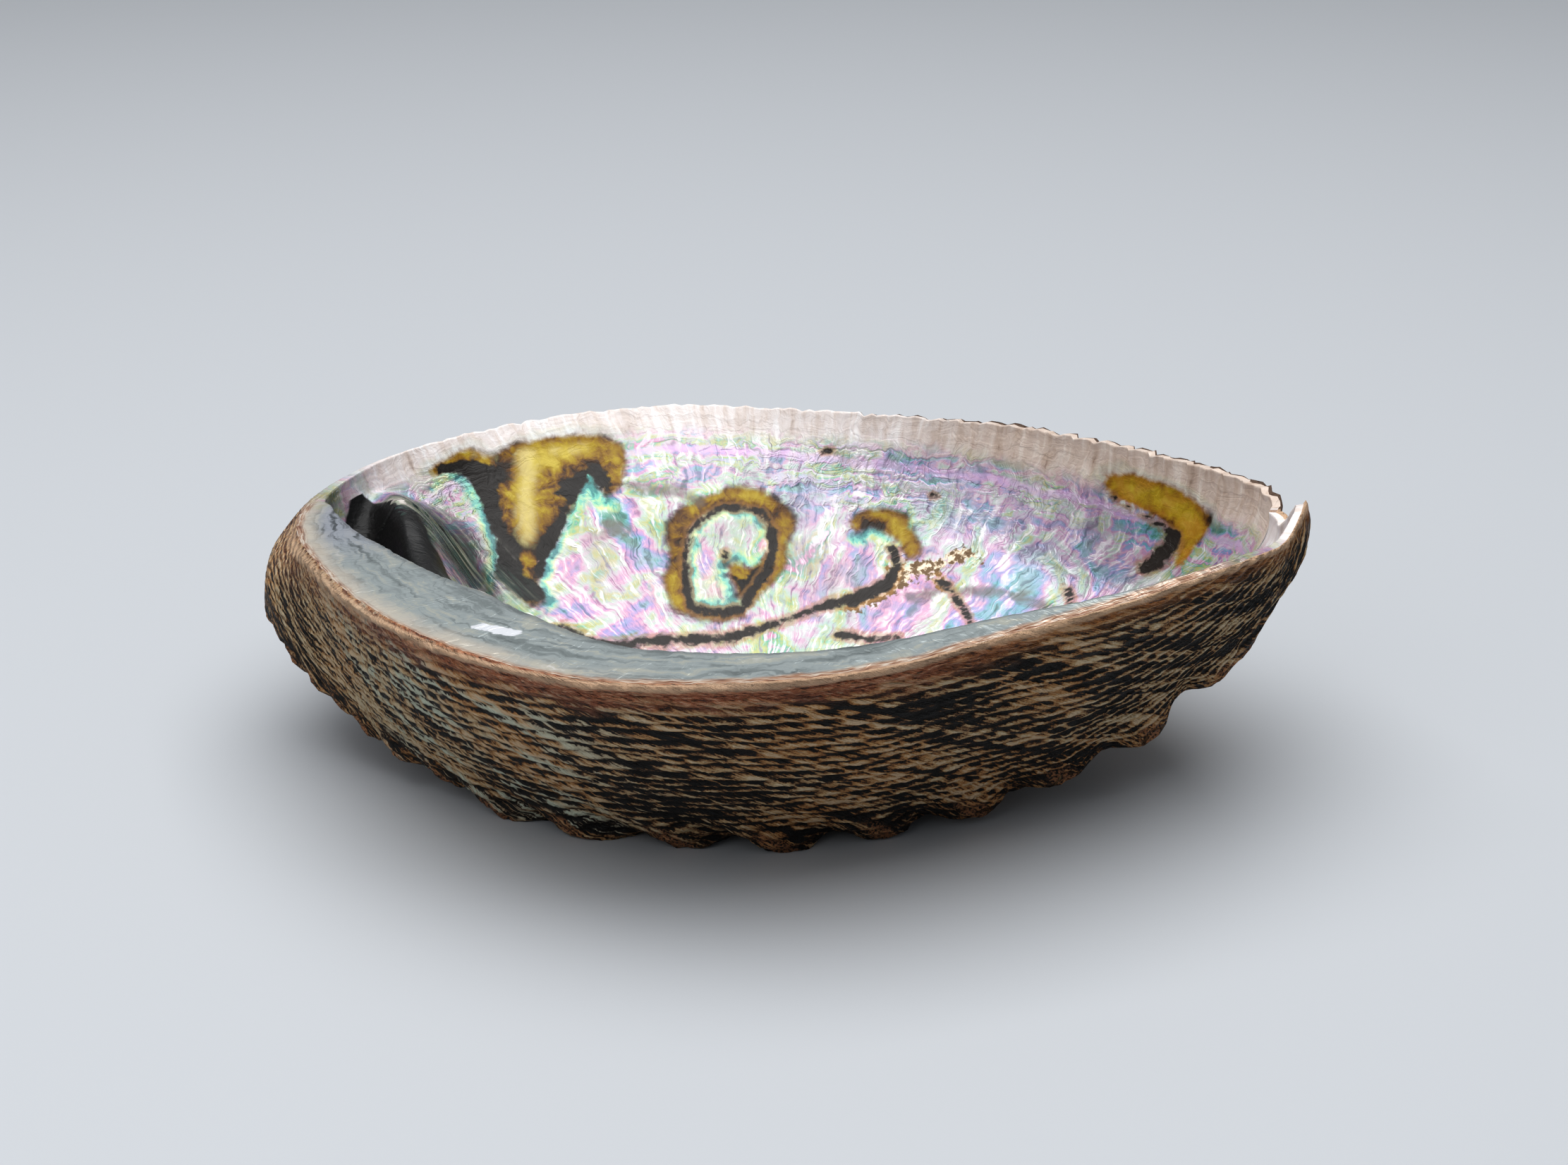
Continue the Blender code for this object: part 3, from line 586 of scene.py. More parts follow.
def wash_colours(across, up, beside):
    """Soft colour in the nacre, with how strong it is as its fourth number."""
    total = np.zeros(across.shape + (4,))
    for x, z, reach, strength, *colour in WASHES:
        gap = np.hypot(across - x, up - WALL_LEAN * z) / reach
        weight = strength * np.exp(-gap**2 - (beside / 10.0) ** 2)
        total[..., :3] += weight[..., None] * np.array(colour)
        total[..., 3] += weight
    total[..., :3] /= np.maximum(total[..., 3:], 1e-6)
    total[..., 3] = np.minimum(total[..., 3], 1.0)
    return total


def box_middle(places):
    """The middle of the shell's box in plan, which the finished shell is centred on."""
    return 0.5 * (places[..., :2].min(axis=(0, 1)) + places[..., :2].max(axis=(0, 1)))


def spire_depth(x, y):
    """How far the spire stands out below the back over a place in plan."""
    reach = np.hypot(x - APEX[0], y - APEX[1])
    return SPIRE_HEIGHT * np.exp(-((reach / SPIRE_RADIUS) ** 2))


def smooth_wall_mesh():
    """The closed wall without its relief, its growth numbers on its points, and the middle of its box."""
    directions = even_directions(COLUMNS)
    places = in_space(shell_profiles(directions), directions)
    numbers = growth_numbers(directions, places)
    outer_rows = BACK_STEPS + WALL_STEPS
    inner_from = outer_rows + EDGE_STEPS + NOSE_STEPS + SHELTER_STEPS + INNER_STEPS
    for rows in (places[:, :outer_rows], places[:, inner_from:]):
        rows[..., 2] -= spire_depth(rows[..., 0], rows[..., 1])
    centre = np.array([*box_middle(places), 0.0])
    middle = np.array([*MIDDLE, 0.0])
    bowl_floor = middle + np.array([0.0, 0.0, float(dome(*MIDDLE)) + BACK_WALL])
    points = np.concatenate([places.reshape(-1, 3), [middle, bowl_floor]]) - centre

    count, rows = places.shape[:2]
    column = np.arange(count)
    following = (column + 1) % count
    quads = []
    for row in range(rows - 1):
        quads.append(np.stack([column * rows + row, following * rows + row, following * rows + row + 1,
                               column * rows + row + 1], axis=-1))
    quads = np.concatenate(quads).tolist()
    back_pole, bowl_pole = len(points) - 2, len(points) - 1
    fans = [(back_pole, b * rows, a * rows) for a, b in zip(column.tolist(), following.tolist())]
    fans += [(a * rows + rows - 1, b * rows + rows - 1, bowl_pole)
             for a, b in zip(column.tolist(), following.tolist())]
    mesh = bpy.data.meshes.new("abalone_wall")
    mesh.from_pydata(points.tolist(), [], quads + fans)
    for name, values in numbers.items():
        at_poles = np.repeat(values[:1, :1], 2, axis=1).copy()
        at_poles[0, 0] = values[:, 0].mean(axis=0)
        at_poles[0, 1] = values[:, -1].mean(axis=0)
        shape = values.shape[2:]
        flat = np.concatenate([values.reshape((-1,) + shape), at_poles.reshape((-1,) + shape)])
        if not shape:
            mesh.attributes.new(name, "FLOAT", "POINT").data.foreach_set("value", flat.astype(np.float32))
        elif shape == (3,):
            mesh.attributes.new(name, "FLOAT_VECTOR", "POINT").data.foreach_set(
                "vector", flat.astype(np.float32).ravel())
        else:
            mesh.attributes.new(name, "FLOAT_COLOR", "POINT").data.foreach_set(
                "color", flat.astype(np.float32).ravel())
    return mesh, centre


# ---------------------------------------------------------------------------------------------------
# Node helpers, for the relief's tree and for the materials alike.


class Bench:
    """Adds nodes to one tree, feeds their inputs and hands back their outputs."""

    def __init__(self, tree):
        self.tree = tree

    def add(self, kind, **settings):
        node = self.tree.nodes.new(kind)
        for name, value in settings.items():
            setattr(node, name, value)
        return node

    def feed(self, socket, value):
        if isinstance(value, bpy.types.NodeSocket):
            self.tree.links.new(value, socket)
        elif value is not None:
            socket.default_value = value

    def sum(self, operation, a, b=None, c=None, clamp=False):
        node = self.add("ShaderNodeMath", operation=operation, use_clamp=clamp)
        for socket, value in zip(node.inputs, (a, b, c)):
            self.feed(socket, value)
        return node.outputs[0]

    def vector(self, x, y, z=0.0):
        node = self.add("ShaderNodeCombineXYZ")
        for socket, value in zip(node.inputs, (x, y, z)):
            self.feed(socket, value)
        return node.outputs[0]

    def noise(self, vector, scale, detail=2.0, roughness=0.5, distortion=0.0):
        node = self.add("ShaderNodeTexNoise", noise_dimensions="3D")
        self.feed(node.inputs["Vector"], vector)
        node.inputs["Scale"].default_value = scale
        node.inputs["Detail"].default_value = detail
        node.inputs["Roughness"].default_value = roughness
        node.inputs["Distortion"].default_value = distortion
        return node.outputs[0]

    def between(self, value, low, high, to_low=0.0, to_high=1.0):
        """Eases from to_low to to_high as the value goes from low to high, and holds them outside."""
        node = self.add("ShaderNodeMapRange", interpolation_type="SMOOTHSTEP")
        for socket, number in zip(node.inputs, (value, low, high, to_low, to_high)):
            self.feed(socket, number)
        return node.outputs[0]

    def mix(self, share, first, second, blend="MIX"):
        node = self.add("ShaderNodeMix", data_type="RGBA", blend_type=blend, clamp_factor=True)
        for index, value in ((0, share), (6, first), (7, second)):
            self.feed(node.inputs[index], value)
        return node.outputs[2]

    def ramp(self, value, stops, interpolation="EASE"):
        node = self.add("ShaderNodeValToRGB")
        node.color_ramp.interpolation = interpolation
        elements = node.color_ramp.elements
        while len(elements) < len(stops):
            elements.new(0.5)
        for element, (position, colour) in zip(elements, stops):
            element.position = position
            element.color = (*tuple(colour)[:3], 1.0)
        self.feed(node.inputs[0], value)
        return node.outputs[0]


class GrowthBench(Bench):
    """A bench for a material: reads the growth numbers kept on the wall."""

    def number(self, name):
        return self.add("ShaderNodeAttribute", attribute_name=name).outputs["Fac"]

    def colour_at(self, name):
        node = self.add("ShaderNodeAttribute", attribute_name=name)
        return node.outputs["Color"], node.outputs["Alpha"]

    def place(self):
        return self.add("ShaderNodeTexCoord").outputs["Object"]

    def bump(self, height, distance, strength=1.0, normal=None):
        node = self.add("ShaderNodeBump")
        node.inputs["Strength"].default_value = strength
        node.inputs["Distance"].default_value = distance
        self.feed(node.inputs["Height"], height)
        self.feed(node.inputs["Normal"], normal)
        return node.outputs[0]


class ReliefBench(Bench):
    """A bench for the relief's tree: reads growth numbers as named attributes."""

    def number(self, name):
        node = self.add("GeometryNodeInputNamedAttribute", data_type="FLOAT")
        node.inputs["Name"].default_value = name
        return node.outputs[0]

    def way(self, name):
        node = self.add("GeometryNodeInputNamedAttribute", data_type="FLOAT_VECTOR")
        node.inputs["Name"].default_value = name
        return node.outputs[0]

    def scaled(self, vector, length):
        node = self.add("ShaderNodeVectorMath", operation="SCALE")
        self.feed(node.inputs[0], vector)
        self.feed(node.inputs["Scale"], length)
        return node.outputs[0]

    def joined(self, first, second):
        node = self.add("ShaderNodeVectorMath", operation="ADD")
        self.feed(node.inputs[0], first)
        self.feed(node.inputs[1], second)
        return node.outputs[0]


def tree_input(tree, name, kind, default=None):
    socket = tree.interface.new_socket(name, in_out="INPUT", socket_type=kind)
    if default is not None:
        socket.default_value = default
    return socket


def relief_tree():
    """Raises the knobs, cords, growth lines, crimps and wrinkles on the wall, and gives it its materials."""
    tree = bpy.data.node_groups.new("shell_relief", "GeometryNodeTree")
    tree.interface.new_socket("Geometry", in_out="INPUT", socket_type="NodeSocketGeometry")
    for name, default in (
        ("Knob Height", 0.22), ("Cord Height", 0.0004), ("Growth Line Height", 0.0003),
        ("Swell Height", 0.0004), ("Crimp Depth", 0.0004), ("Wrinkle Height", 0.0002), ("Seed", 1.0),
    ):
        tree_input(tree, name, "NodeSocketFloat", default)
    tree_input(tree, "Crust", "NodeSocketMaterial")
    tree_input(tree, "Nacre", "NodeSocketMaterial")
    tree.interface.new_socket("Geometry", in_out="OUTPUT", socket_type="NodeSocketGeometry")
    bench = ReliefBench(tree)
    given = bench.add("NodeGroupInput").outputs
    place = bench.add("GeometryNodeInputPosition").outputs[0]
    normal = bench.add("GeometryNodeInputNormal").outputs[0]
    cords, rings = bench.number("cords"), bench.number("rings")
    inside = bench.number("inside")
    outside = bench.sum("SUBTRACT", 1.0, inside)

    # Cords: rounded, with narrow grooves, thick and thin ones in turn, beaded where growth lines cross.
    seeded = bench.sum("MULTIPLY", given["Seed"], 7.3)
    winding = bench.vector(bench.sum("MULTIPLY", rings, 0.06), bench.sum("MULTIPLY", cords, 0.5), seeded)
    wander = bench.noise(winding, 1.0, 2.0)
    cord_at = bench.sum("ADD", cords, bench.sum("MULTIPLY", bench.sum("SUBTRACT", wander, 0.5), 0.9))
    cord_wave = bench.sum("COSINE", bench.sum("MULTIPLY", cord_at, 2 * math.pi))
    cord_top = bench.sum("POWER", bench.sum("MULTIPLY_ADD", cord_wave, 0.5, 0.5), 0.55)
    beaded = bench.vector(bench.sum("MULTIPLY", rings, 0.7), bench.sum("MULTIPLY", cords, 1.0), seeded)
    beads = bench.noise(beaded, 1.0, 1.0)
    beads = bench.between(beads, 0.35, 0.65, 0.55, 1.25)
    cord_raise = bench.sum("MULTIPLY", bench.sum("MULTIPLY", bench.sum("MULTIPLY", cord_top, beads),
                                               bench.number("raised")), given["Cord Height"])

    # Growth lines: uneven steps where growth paused.
    lined = bench.vector(bench.sum("MULTIPLY", rings, 0.45), bench.sum("MULTIPLY", cords, 0.06), seeded)
    lines = bench.noise(lined, 1.0, 3.0, 0.6)
    lines = bench.sum("MULTIPLY", bench.sum("SUBTRACT", lines, 0.5), given["Growth Line Height"])
    lines = bench.sum("MULTIPLY", lines, bench.sum("MULTIPLY", bench.number("clear"), 2.0))
    swell = bench.noise(place, 55.0, 2.0)
    swell = bench.sum("MULTIPLY", bench.sum("SUBTRACT", swell, 0.5), given["Swell Height"])
    crust_raise = bench.sum("MULTIPLY", bench.sum("ADD", bench.sum("ADD", cord_raise, lines), swell), outside)

    # Wrinkles inside, running down from the rim.
    from_rim = bench.number("from_rim")
    wrinkle = bench.noise(bench.vector(bench.sum("MULTIPLY", bench.number("rim_walk"), 0.55),
                                       bench.sum("MULTIPLY", from_rim, 0.09), seeded), 1.0, 2.0)
    wrinkle = bench.sum("MULTIPLY", bench.sum("SUBTRACT", wrinkle, 0.5), given["Wrinkle Height"])
    low_inside = bench.sum("MULTIPLY", inside, bench.between(from_rim, 45.0, 20.0, 0.0, 1.0))
    wrinkle = bench.sum("MULTIPLY", wrinkle, low_inside)
    offset = bench.scaled(normal, bench.sum("ADD", crust_raise, wrinkle))

    # Crimps: the lip waves in and out as one thin sheet, a wave to a cord.
    rim_cords = bench.number("rim_cords")
    uneven = bench.noise(bench.vector(bench.sum("MULTIPLY", rim_cords, 0.7), seeded, 0.0), 1.0, 2.0)
    waved_cords = bench.sum("ADD", rim_cords, bench.sum("MULTIPLY", uneven, 1.6))
    wave = bench.sum("SINE", bench.sum("MULTIPLY", waved_cords, 2 * math.pi))
    wave = bench.sum("ADD", wave, bench.sum("MULTIPLY", bench.sum("SUBTRACT", uneven, 0.5), 3.0))
    crimp = bench.sum("MULTIPLY", bench.sum("MULTIPLY", wave, bench.number("crimped")), given["Crimp Depth"])
    lean = bench.joined(bench.scaled(bench.way("outward"), crimp),
                        bench.vector(0.0, 0.0, bench.sum("MULTIPLY", bench.sum("ABSOLUTE", crimp), -0.9)))
    offset = bench.joined(offset, lean)

    # Knobs: one to a pore, leaning back over the older side.
    step = bench.number("knob_step")
    full_turn = bench.sum("MULTIPLY", step, 2 * math.pi)
    leaning = bench.sum("ADD", full_turn, bench.sum("MULTIPLY", bench.sum("SINE", full_turn), -0.55))
    knob = bench.sum("POWER", bench.sum("MULTIPLY_ADD", bench.sum("COSINE", leaning), 0.5, 0.5), 1.7)
    knob = bench.sum("MULTIPLY", bench.sum("MULTIPLY", knob, bench.number("on_ridge")),
                     bench.sum("MULTIPLY", bench.number("knob_spacing"), MM))
    knob = bench.sum("MULTIPLY", knob, given["Knob Height"])
    which = bench.sum("ROUND", step)
    differing = bench.noise(bench.vector(bench.sum("MULTIPLY", which, 3.7), seeded, 2.0), 1.0, 0.0)
    knob = bench.sum("MULTIPLY", knob, bench.between(differing, 0.3, 0.7, 0.75, 1.25))
    away = bench.joined(bench.way("outward"), bench.vector(0.0, 0.0, -1.2))
    offset = bench.joined(offset, bench.scaled(away, bench.sum("MULTIPLY", knob, 0.64)))

    # The shell rests on the surface, so nothing of it reaches below.
    moved = bench.joined(place, offset)
    split = bench.add("ShaderNodeSeparateXYZ")
    bench.feed(split.inputs[0], moved)
    resting = bench.vector(split.outputs[0], split.outputs[1], bench.sum("MAXIMUM", split.outputs[2], 0.0))
    raised = bench.add("GeometryNodeSetPosition")
    bench.feed(raised.inputs["Geometry"], given["Geometry"])
    bench.feed(raised.inputs["Position"], resting)
    whole = bench.add("GeometryNodeRealizeInstances")
    bench.feed(whole.inputs[0], raised.outputs[0])
    crusted = bench.add("GeometryNodeSetMaterial")
    bench.feed(crusted.inputs["Geometry"], whole.outputs[0])
    bench.feed(crusted.inputs["Material"], given["Crust"])
    lined = bench.add("GeometryNodeSetMaterial")
    bench.feed(lined.inputs["Geometry"], crusted.outputs[0])
    bench.feed(lined.inputs["Selection"], bench.sum("GREATER_THAN", inside, 0.5))
    bench.feed(lined.inputs["Material"], given["Nacre"])
    bench.feed(bench.add("NodeGroupOutput").inputs[0], lined.outputs[0])
    return tree


def set_inputs(modifier, values):
    """Sets a node modifier's inputs by their sockets' identifiers."""
    for item in modifier.node_group.interface.items_tree:
        if item.item_type == "SOCKET" and item.in_out == "INPUT" and item.name in values:
            modifier[item.identifier] = values[item.name]


def new_material(name):
    material = bpy.data.materials.new(name)
    material.use_nodes = True
    return material, material.node_tree.nodes["Principled BSDF"]


def crust_material(colours):
    """The outside: tan and cream cords, black grooves partly painted as shade, red-brown near the rim,
    terracotta on the knobs.
    """
    material, finish = new_material("abalone_crust")
    bench = GrowthBench(material.node_tree)
    cords, rings = bench.number("cords"), bench.number("rings")
    clear, from_rim = bench.number("clear"), bench.number("from_rim")
    above = bench.number("above_ridge")
    place = bench.place()

    turn = bench.number("turn")

    def grain(per_ring, per_cord, seed, detail=3.0, roughness=0.6):
        """Noise that runs with the cords and the growth lines, from -0.5 to 0.5."""
        spot = bench.vector(
            bench.sum("MULTIPLY", rings, per_ring), bench.sum("MULTIPLY", cords, per_cord), seed)
        return bench.sum("SUBTRACT", bench.noise(spot, 1.0, detail, roughness), 0.5)

    def added(*parts):
        """The sum of (value, share) pairs."""
        total = None
        for value, share in parts:
            total = bench.sum("MULTIPLY_ADD", value, share, 0.0 if total is None else total)
        return total

    cord_at = added((cords, 1.0), (grain(0.06, 0.5, 7.3, 2.0, 0.5), 0.9), (grain(0.6, 1.4, 3.0), 0.45),
                    (grain(0.16, 0.25, 31.0, 1.0), 1.1))
    cord_wave = bench.sum("COSINE", bench.sum("MULTIPLY", cord_at, 2 * math.pi))
    cord_wave = bench.sum("MULTIPLY_ADD", cord_wave, 0.5, 0.5)
    cord_wave = bench.sum("POWER", cord_wave, bench.between(turn, 300.0, 335.0, 0.8, 2.2))

    # Dashes along the cords, cut aslant by growth lines.
    dashes, streaks, lines = grain(0.35, 0.9, 1.0), grain(0.26, 0.22, 11.0), grain(1.0, 0.14, 5.0, 3.0, 0.7)
    fine = bench.noise(place, 2600.0, 2.0, 0.6)
    broad = bench.noise(place, 45.0, 3.0, 0.55)
    folds = grain(0.30, 0.045, 21.0, 2.0)
    # The near wall is painted lighter towards its left end, a painted pool of light, and a little lighter
    # towards the front right.
    light = added((cord_wave, 0.54), (dashes, 1.2), (streaks, 1.0), (lines, 2.0), (folds, 1.7),
                  (bench.sum("SUBTRACT", fine, 0.5), 0.5), (bench.sum("SUBTRACT", broad, 0.5), 1.0),
                  (bench.between(turn, 240.0, 200.0), 0.17), (bench.between(turn, 298.0, 325.0), 0.10))
    light = bench.sum("ADD", light, 0.11)
    # Round the knobs the crust is painted much darker as the shade on the knobs' sides, with the crust's own
    # growth-line specks in it.
    knob_band_painted_shade = bench.sum("MULTIPLY", bench.between(bench.sum("ABSOLUTE", above), 6.0, 2.5, 0.0, 0.75),
                         bench.between(turn, 165.0, 180.0))
    knob_band_shaded_tone = added((lines, 2.6), (dashes, 1.2), (bench.sum("SUBTRACT", fine, 0.5), 0.6))
    knob_band_shaded_tone = bench.sum("ADD", knob_band_shaded_tone, 0.27)
    light = added((light, bench.sum("SUBTRACT", 1.0, knob_band_painted_shade)), (knob_band_shaded_tone, knob_band_painted_shade))
    mottle = bench.sum("SUBTRACT", bench.noise(place, 300.0, 4.0, 0.65), 0.5)
    plain = bench.sum("ADD", 0.40, bench.sum("MULTIPLY", mottle, 1.8))
    light = added((light, clear), (plain, bench.sum("SUBTRACT", 1.0, clear)))

    tan = bench.mix(bench.between(broad, 0.42, 0.62), tuple(colours.cord_tan), tuple(colours.cord_brown))
    # The ramp paints the cords' grooves near black and their tops cream. This is partly the cords' own
    # colours, partly painted shade in the grooves and painted highlight on the tops.
    colour = bench.ramp(light, [
        (0.26, (0.004, 0.003, 0.002)), (0.35, (0.022, 0.011, 0.004)), (0.45, (0.15, 0.062, 0.018)),
        (0.56, (0.34, 0.185, 0.070)), (0.70, (0.56, 0.41, 0.20)), (0.9, (0.84, 0.75, 0.54)),
    ], "LINEAR")
    colour = bench.mix(bench.sum("MULTIPLY", bench.between(light, 0.38, 0.6), 0.55), colour, tan)

    # Mint streaks in the left of the near wall.
    mint_zone = bench.sum("MULTIPLY", bench.between(turn, 192.0, 206.0), bench.between(turn, 262.0, 232.0))
    mint = bench.sum("MULTIPLY", bench.between(grain(0.16, 0.16, 9.0), -0.02, 0.1), mint_zone)
    mint = bench.sum("MULTIPLY", mint, bench.between(light, 0.34, 0.55))
    colour = bench.mix(bench.sum("MULTIPLY", mint, 0.8), colour, (0.52, 0.60, 0.50, 1.0))

    # The band under the near rim: red-brown and speckled, more orange towards the front, pale at its edge.
    under_rim = bench.vector(bench.sum("MULTIPLY", rings, 0.9), bench.sum("MULTIPLY", from_rim, 2.2), 2.0)
    band_noise = bench.noise(under_rim, 1.0, 4.0, 0.75)
    band_edge = added((from_rim, 1.0), (bench.sum("SUBTRACT", broad, 0.5), 8.0), (dashes, 6.0))
    band_edge = bench.sum("ADD", band_edge, bench.between(turn, 288.0, 322.0, 0.0, 2.2))
    band = bench.sum("MULTIPLY", bench.between(band_edge, 7.0, 1.5),
                     bench.between(turn, 190.0, 235.0, 0.35, 1.0))
    band = bench.sum("MULTIPLY", band, bench.between(turn, 160.0, 175.0))
    red = bench.mix(bench.between(turn, 285.0, 315.0), tuple(colours.rim_red), tuple(colours.rim_orange))
    speckled = bench.mix(bench.between(band_noise, 0.52, 0.38), red, (0.06, 0.022, 0.012, 1.0))
    speckled = bench.mix(bench.between(band_noise, 0.52, 0.66), speckled, (0.60, 0.38, 0.25, 1.0))
    colour = bench.mix(bench.sum("MULTIPLY", band, 0.9), colour, speckled)
    margin = bench.sum("MULTIPLY", bench.between(bench.sum("MULTIPLY_ADD", dashes, 1.5, from_rim), 1.2, 0.5),
                       bench.between(turn, 160.0, 190.0))
    colour = bench.mix(bench.sum("MULTIPLY", margin, 0.8), colour, (0.60, 0.42, 0.28, 1.0))
    far_edge = bench.sum("MULTIPLY", bench.between(from_rim, 1.6, 0.2), bench.between(turn, 170.0, 158.0))
    colour = bench.mix(far_edge, colour, (0.10, 0.06, 0.04, 1.0))

    # Knob tips.
    step = bench.number("knob_step")
    tip_wave = bench.sum("COSINE", bench.sum("MULTIPLY", step, 2 * math.pi))
    tip = bench.sum("MULTIPLY", bench.between(tip_wave, 0.35, 0.95), bench.number("on_ridge"))
    speckled_tip = bench.sum("MULTIPLY", tip, bench.between(fine, 0.3, 0.6))
    colour = bench.mix(bench.between(speckled_tip, 0.25, 0.8, 0.0, 0.7), colour, tuple(colours.knob_tip))
    bench.feed(finish.inputs["Base Color"], colour)
    bench.feed(finish.inputs["Roughness"], bench.between(light, 0.1, 0.8, 0.42, 0.72))

    height = added((cord_wave, bench.sum("MULTIPLY", clear, 0.5)), (lines, 1.2), (light, 0.5))
    rough = bench.bump(height, 0.0006, 0.9)
    rough = bench.bump(fine, 0.00012, 0.8, rough)
    bench.feed(finish.inputs["Normal"], rough)
    finish.inputs["Specular IOR Level"].default_value = 0.35
    return material


def nacre_material(colours):
    """The inside: mother of pearl, with amber and black marks, a pale lip and a blue-grey shelf."""
    material, finish = new_material("abalone_nacre")
    bench = GrowthBench(material.node_tree)
    place = bench.place()
    from_rim, rim_walk, turn = bench.number("from_rim"), bench.number("rim_walk"), bench.number("turn")

    def swing(scale, detail=3.0, distortion=0.0):
        """Noise in space, from -0.5 to 0.5."""
        return bench.sum("SUBTRACT", bench.noise(place, scale, detail, 0.6, distortion), 0.5)

    def plus(*parts):
        """The sum of (value, share) pairs."""
        total = None
        for value, share in parts:
            total = bench.sum("MULTIPLY_ADD", value, share, 0.0 if total is None else total)
        return total

    def combed(round_rim, down, seed, detail=3.0, wavy=1.0):
        """Noise drawn out along or across the rim, from 0 to 1, with a wavy run."""
        across = bench.sum("MULTIPLY", plus((rim_walk, 1.0), (warp, 10.0 * wavy)), round_rim)
        along = bench.sum("MULTIPLY", plus((from_rim, 1.0), (second_warp, 8.0 * wavy)), down)
        return bench.noise(bench.vector(across, along, seed), 1.0, detail, 0.6, 0.3)

    warp, second_warp, fine_warp = swing(130.0), swing(190.0, 3.0, 0.6), swing(900.0, 2.0)
    cloud, patch, crackle = swing(80.0, 2.0, 1.2), swing(170.0, 2.0, 0.8), swing(520.0, 3.0, 0.8)
    brush = combed(0.75, 0.07, 0.0)
    growth = combed(0.035, 0.55, 4.0, 3.0, 0.7)
    upper = bench.sum("MULTIPLY", bench.between(from_rim, 24.0, 14.0), bench.between(turn, 165.0, 150.0))

    # Mother of pearl: its colour turns with the thickness of its layers, through pale pinks and greens.
    hue = plus((cloud, 1.3), (patch, 0.65), (crackle, 0.12), (bench.sum("SUBTRACT", brush, 0.5), 0.4),
               (bench.sum("SUBTRACT", growth, 0.5), bench.sum("MULTIPLY_ADD", upper, 1.0, 0.3)))
    hue = bench.sum("ADD", hue, 0.5)
    pearl = bench.ramp(hue, [
        (0.14, (0.06, 0.30, 0.22)), (0.25, (0.16, 0.42, 0.50)), (0.35, (0.34, 0.30, 0.56)),
        (0.44, tuple(colours.nacre_pink)), (0.51, (0.58, 0.50, 0.54)), (0.58, (0.42, 0.56, 0.46)),
        (0.66, (0.46, 0.48, 0.18)), (0.76, (0.12, 0.42, 0.28)), (0.87, (0.54, 0.22, 0.36)),
    ], "LINEAR")
    wash, strength = bench.colour_at("wash")
    pearl = bench.mix(bench.sum("MULTIPLY", strength, bench.between(patch, -0.2, 0.15, 0.75, 0.2)), pearl,
                      bench.mix(1.0, wash, (0.68, 0.68, 0.68, 1.0), "MULTIPLY"))
    # Streaks painted near white are partly the nacre's own pale layers and partly painted highlight. The
    # nacre is darkened where the same field is low.
    pale_streaks_and_painted_gleam = plus((brush, 0.75), (crackle, 0.3), (patch, 0.35))
    pearl = bench.mix(bench.between(pale_streaks_and_painted_gleam, 0.38, 0.54, 0.0, 0.7), pearl, (0.88, 0.86, 0.88, 1.0))
    pearl = bench.mix(bench.between(pale_streaks_and_painted_gleam, 0.36, 0.20, 0.0, 0.75), pearl, (0.44, 0.40, 0.48, 1.0), "MULTIPLY")
    pearl = bench.mix(1.0, pearl, (0.84, 0.82, 0.84, 1.0), "MULTIPLY")
    ridges = bench.sum("MULTIPLY", upper, bench.between(growth, 0.58, 0.66))
    pearl = bench.mix(bench.sum("MULTIPLY", ridges, 0.55), pearl, (0.50, 0.40, 0.58, 1.0))

    # The lip: a pale band with fine crimps, more tan towards the front, above a lavender ridge.
    lip_edge = plus((from_rim, 1.0), (warp, 4.0), (bench.between(turn, 60.0, 20.0), -2.0))
    far = bench.sum("MAXIMUM", bench.between(turn, 165.0, 150.0), bench.between(turn, 340.0, 350.0))
    lip = bench.sum("MULTIPLY", bench.between(lip_edge, 9.5, 4.5), far)
    # The pale band is the lip's own colour. Its light and dark stripes are painted highlight and painted
    # shade on the crimps.
    crimps = plus((combed(0.55, 0.10, 8.0, 3.0, 0.2), 1.0), (crackle, 0.25))
    lip_colour = bench.ramp(crimps, [
        (0.24, (0.46, 0.37, 0.32)), (0.38, (0.70, 0.61, 0.56)), (0.52, (0.80, 0.73, 0.70)),
        (0.68, (0.92, 0.89, 0.88)),
    ])
    tan_lip = bench.mix(1.0, lip_colour, (0.80, 0.70, 0.60, 1.0), "MULTIPLY")
    lip_colour = bench.mix(bench.between(turn, 75.0, 40.0, 0.0, 0.8), lip_colour, tan_lip)
    pearl = bench.mix(lip, pearl, lip_colour)
    ridge = bench.between(bench.sum("ABSOLUTE", bench.sum("SUBTRACT", lip_edge, 10.0)), 1.1, 0.3)
    ridge = bench.sum("MULTIPLY", ridge, far)
    pearl = bench.mix(bench.sum("MULTIPLY", ridge, 0.6), pearl, (0.58, 0.40, 0.62, 1.0))

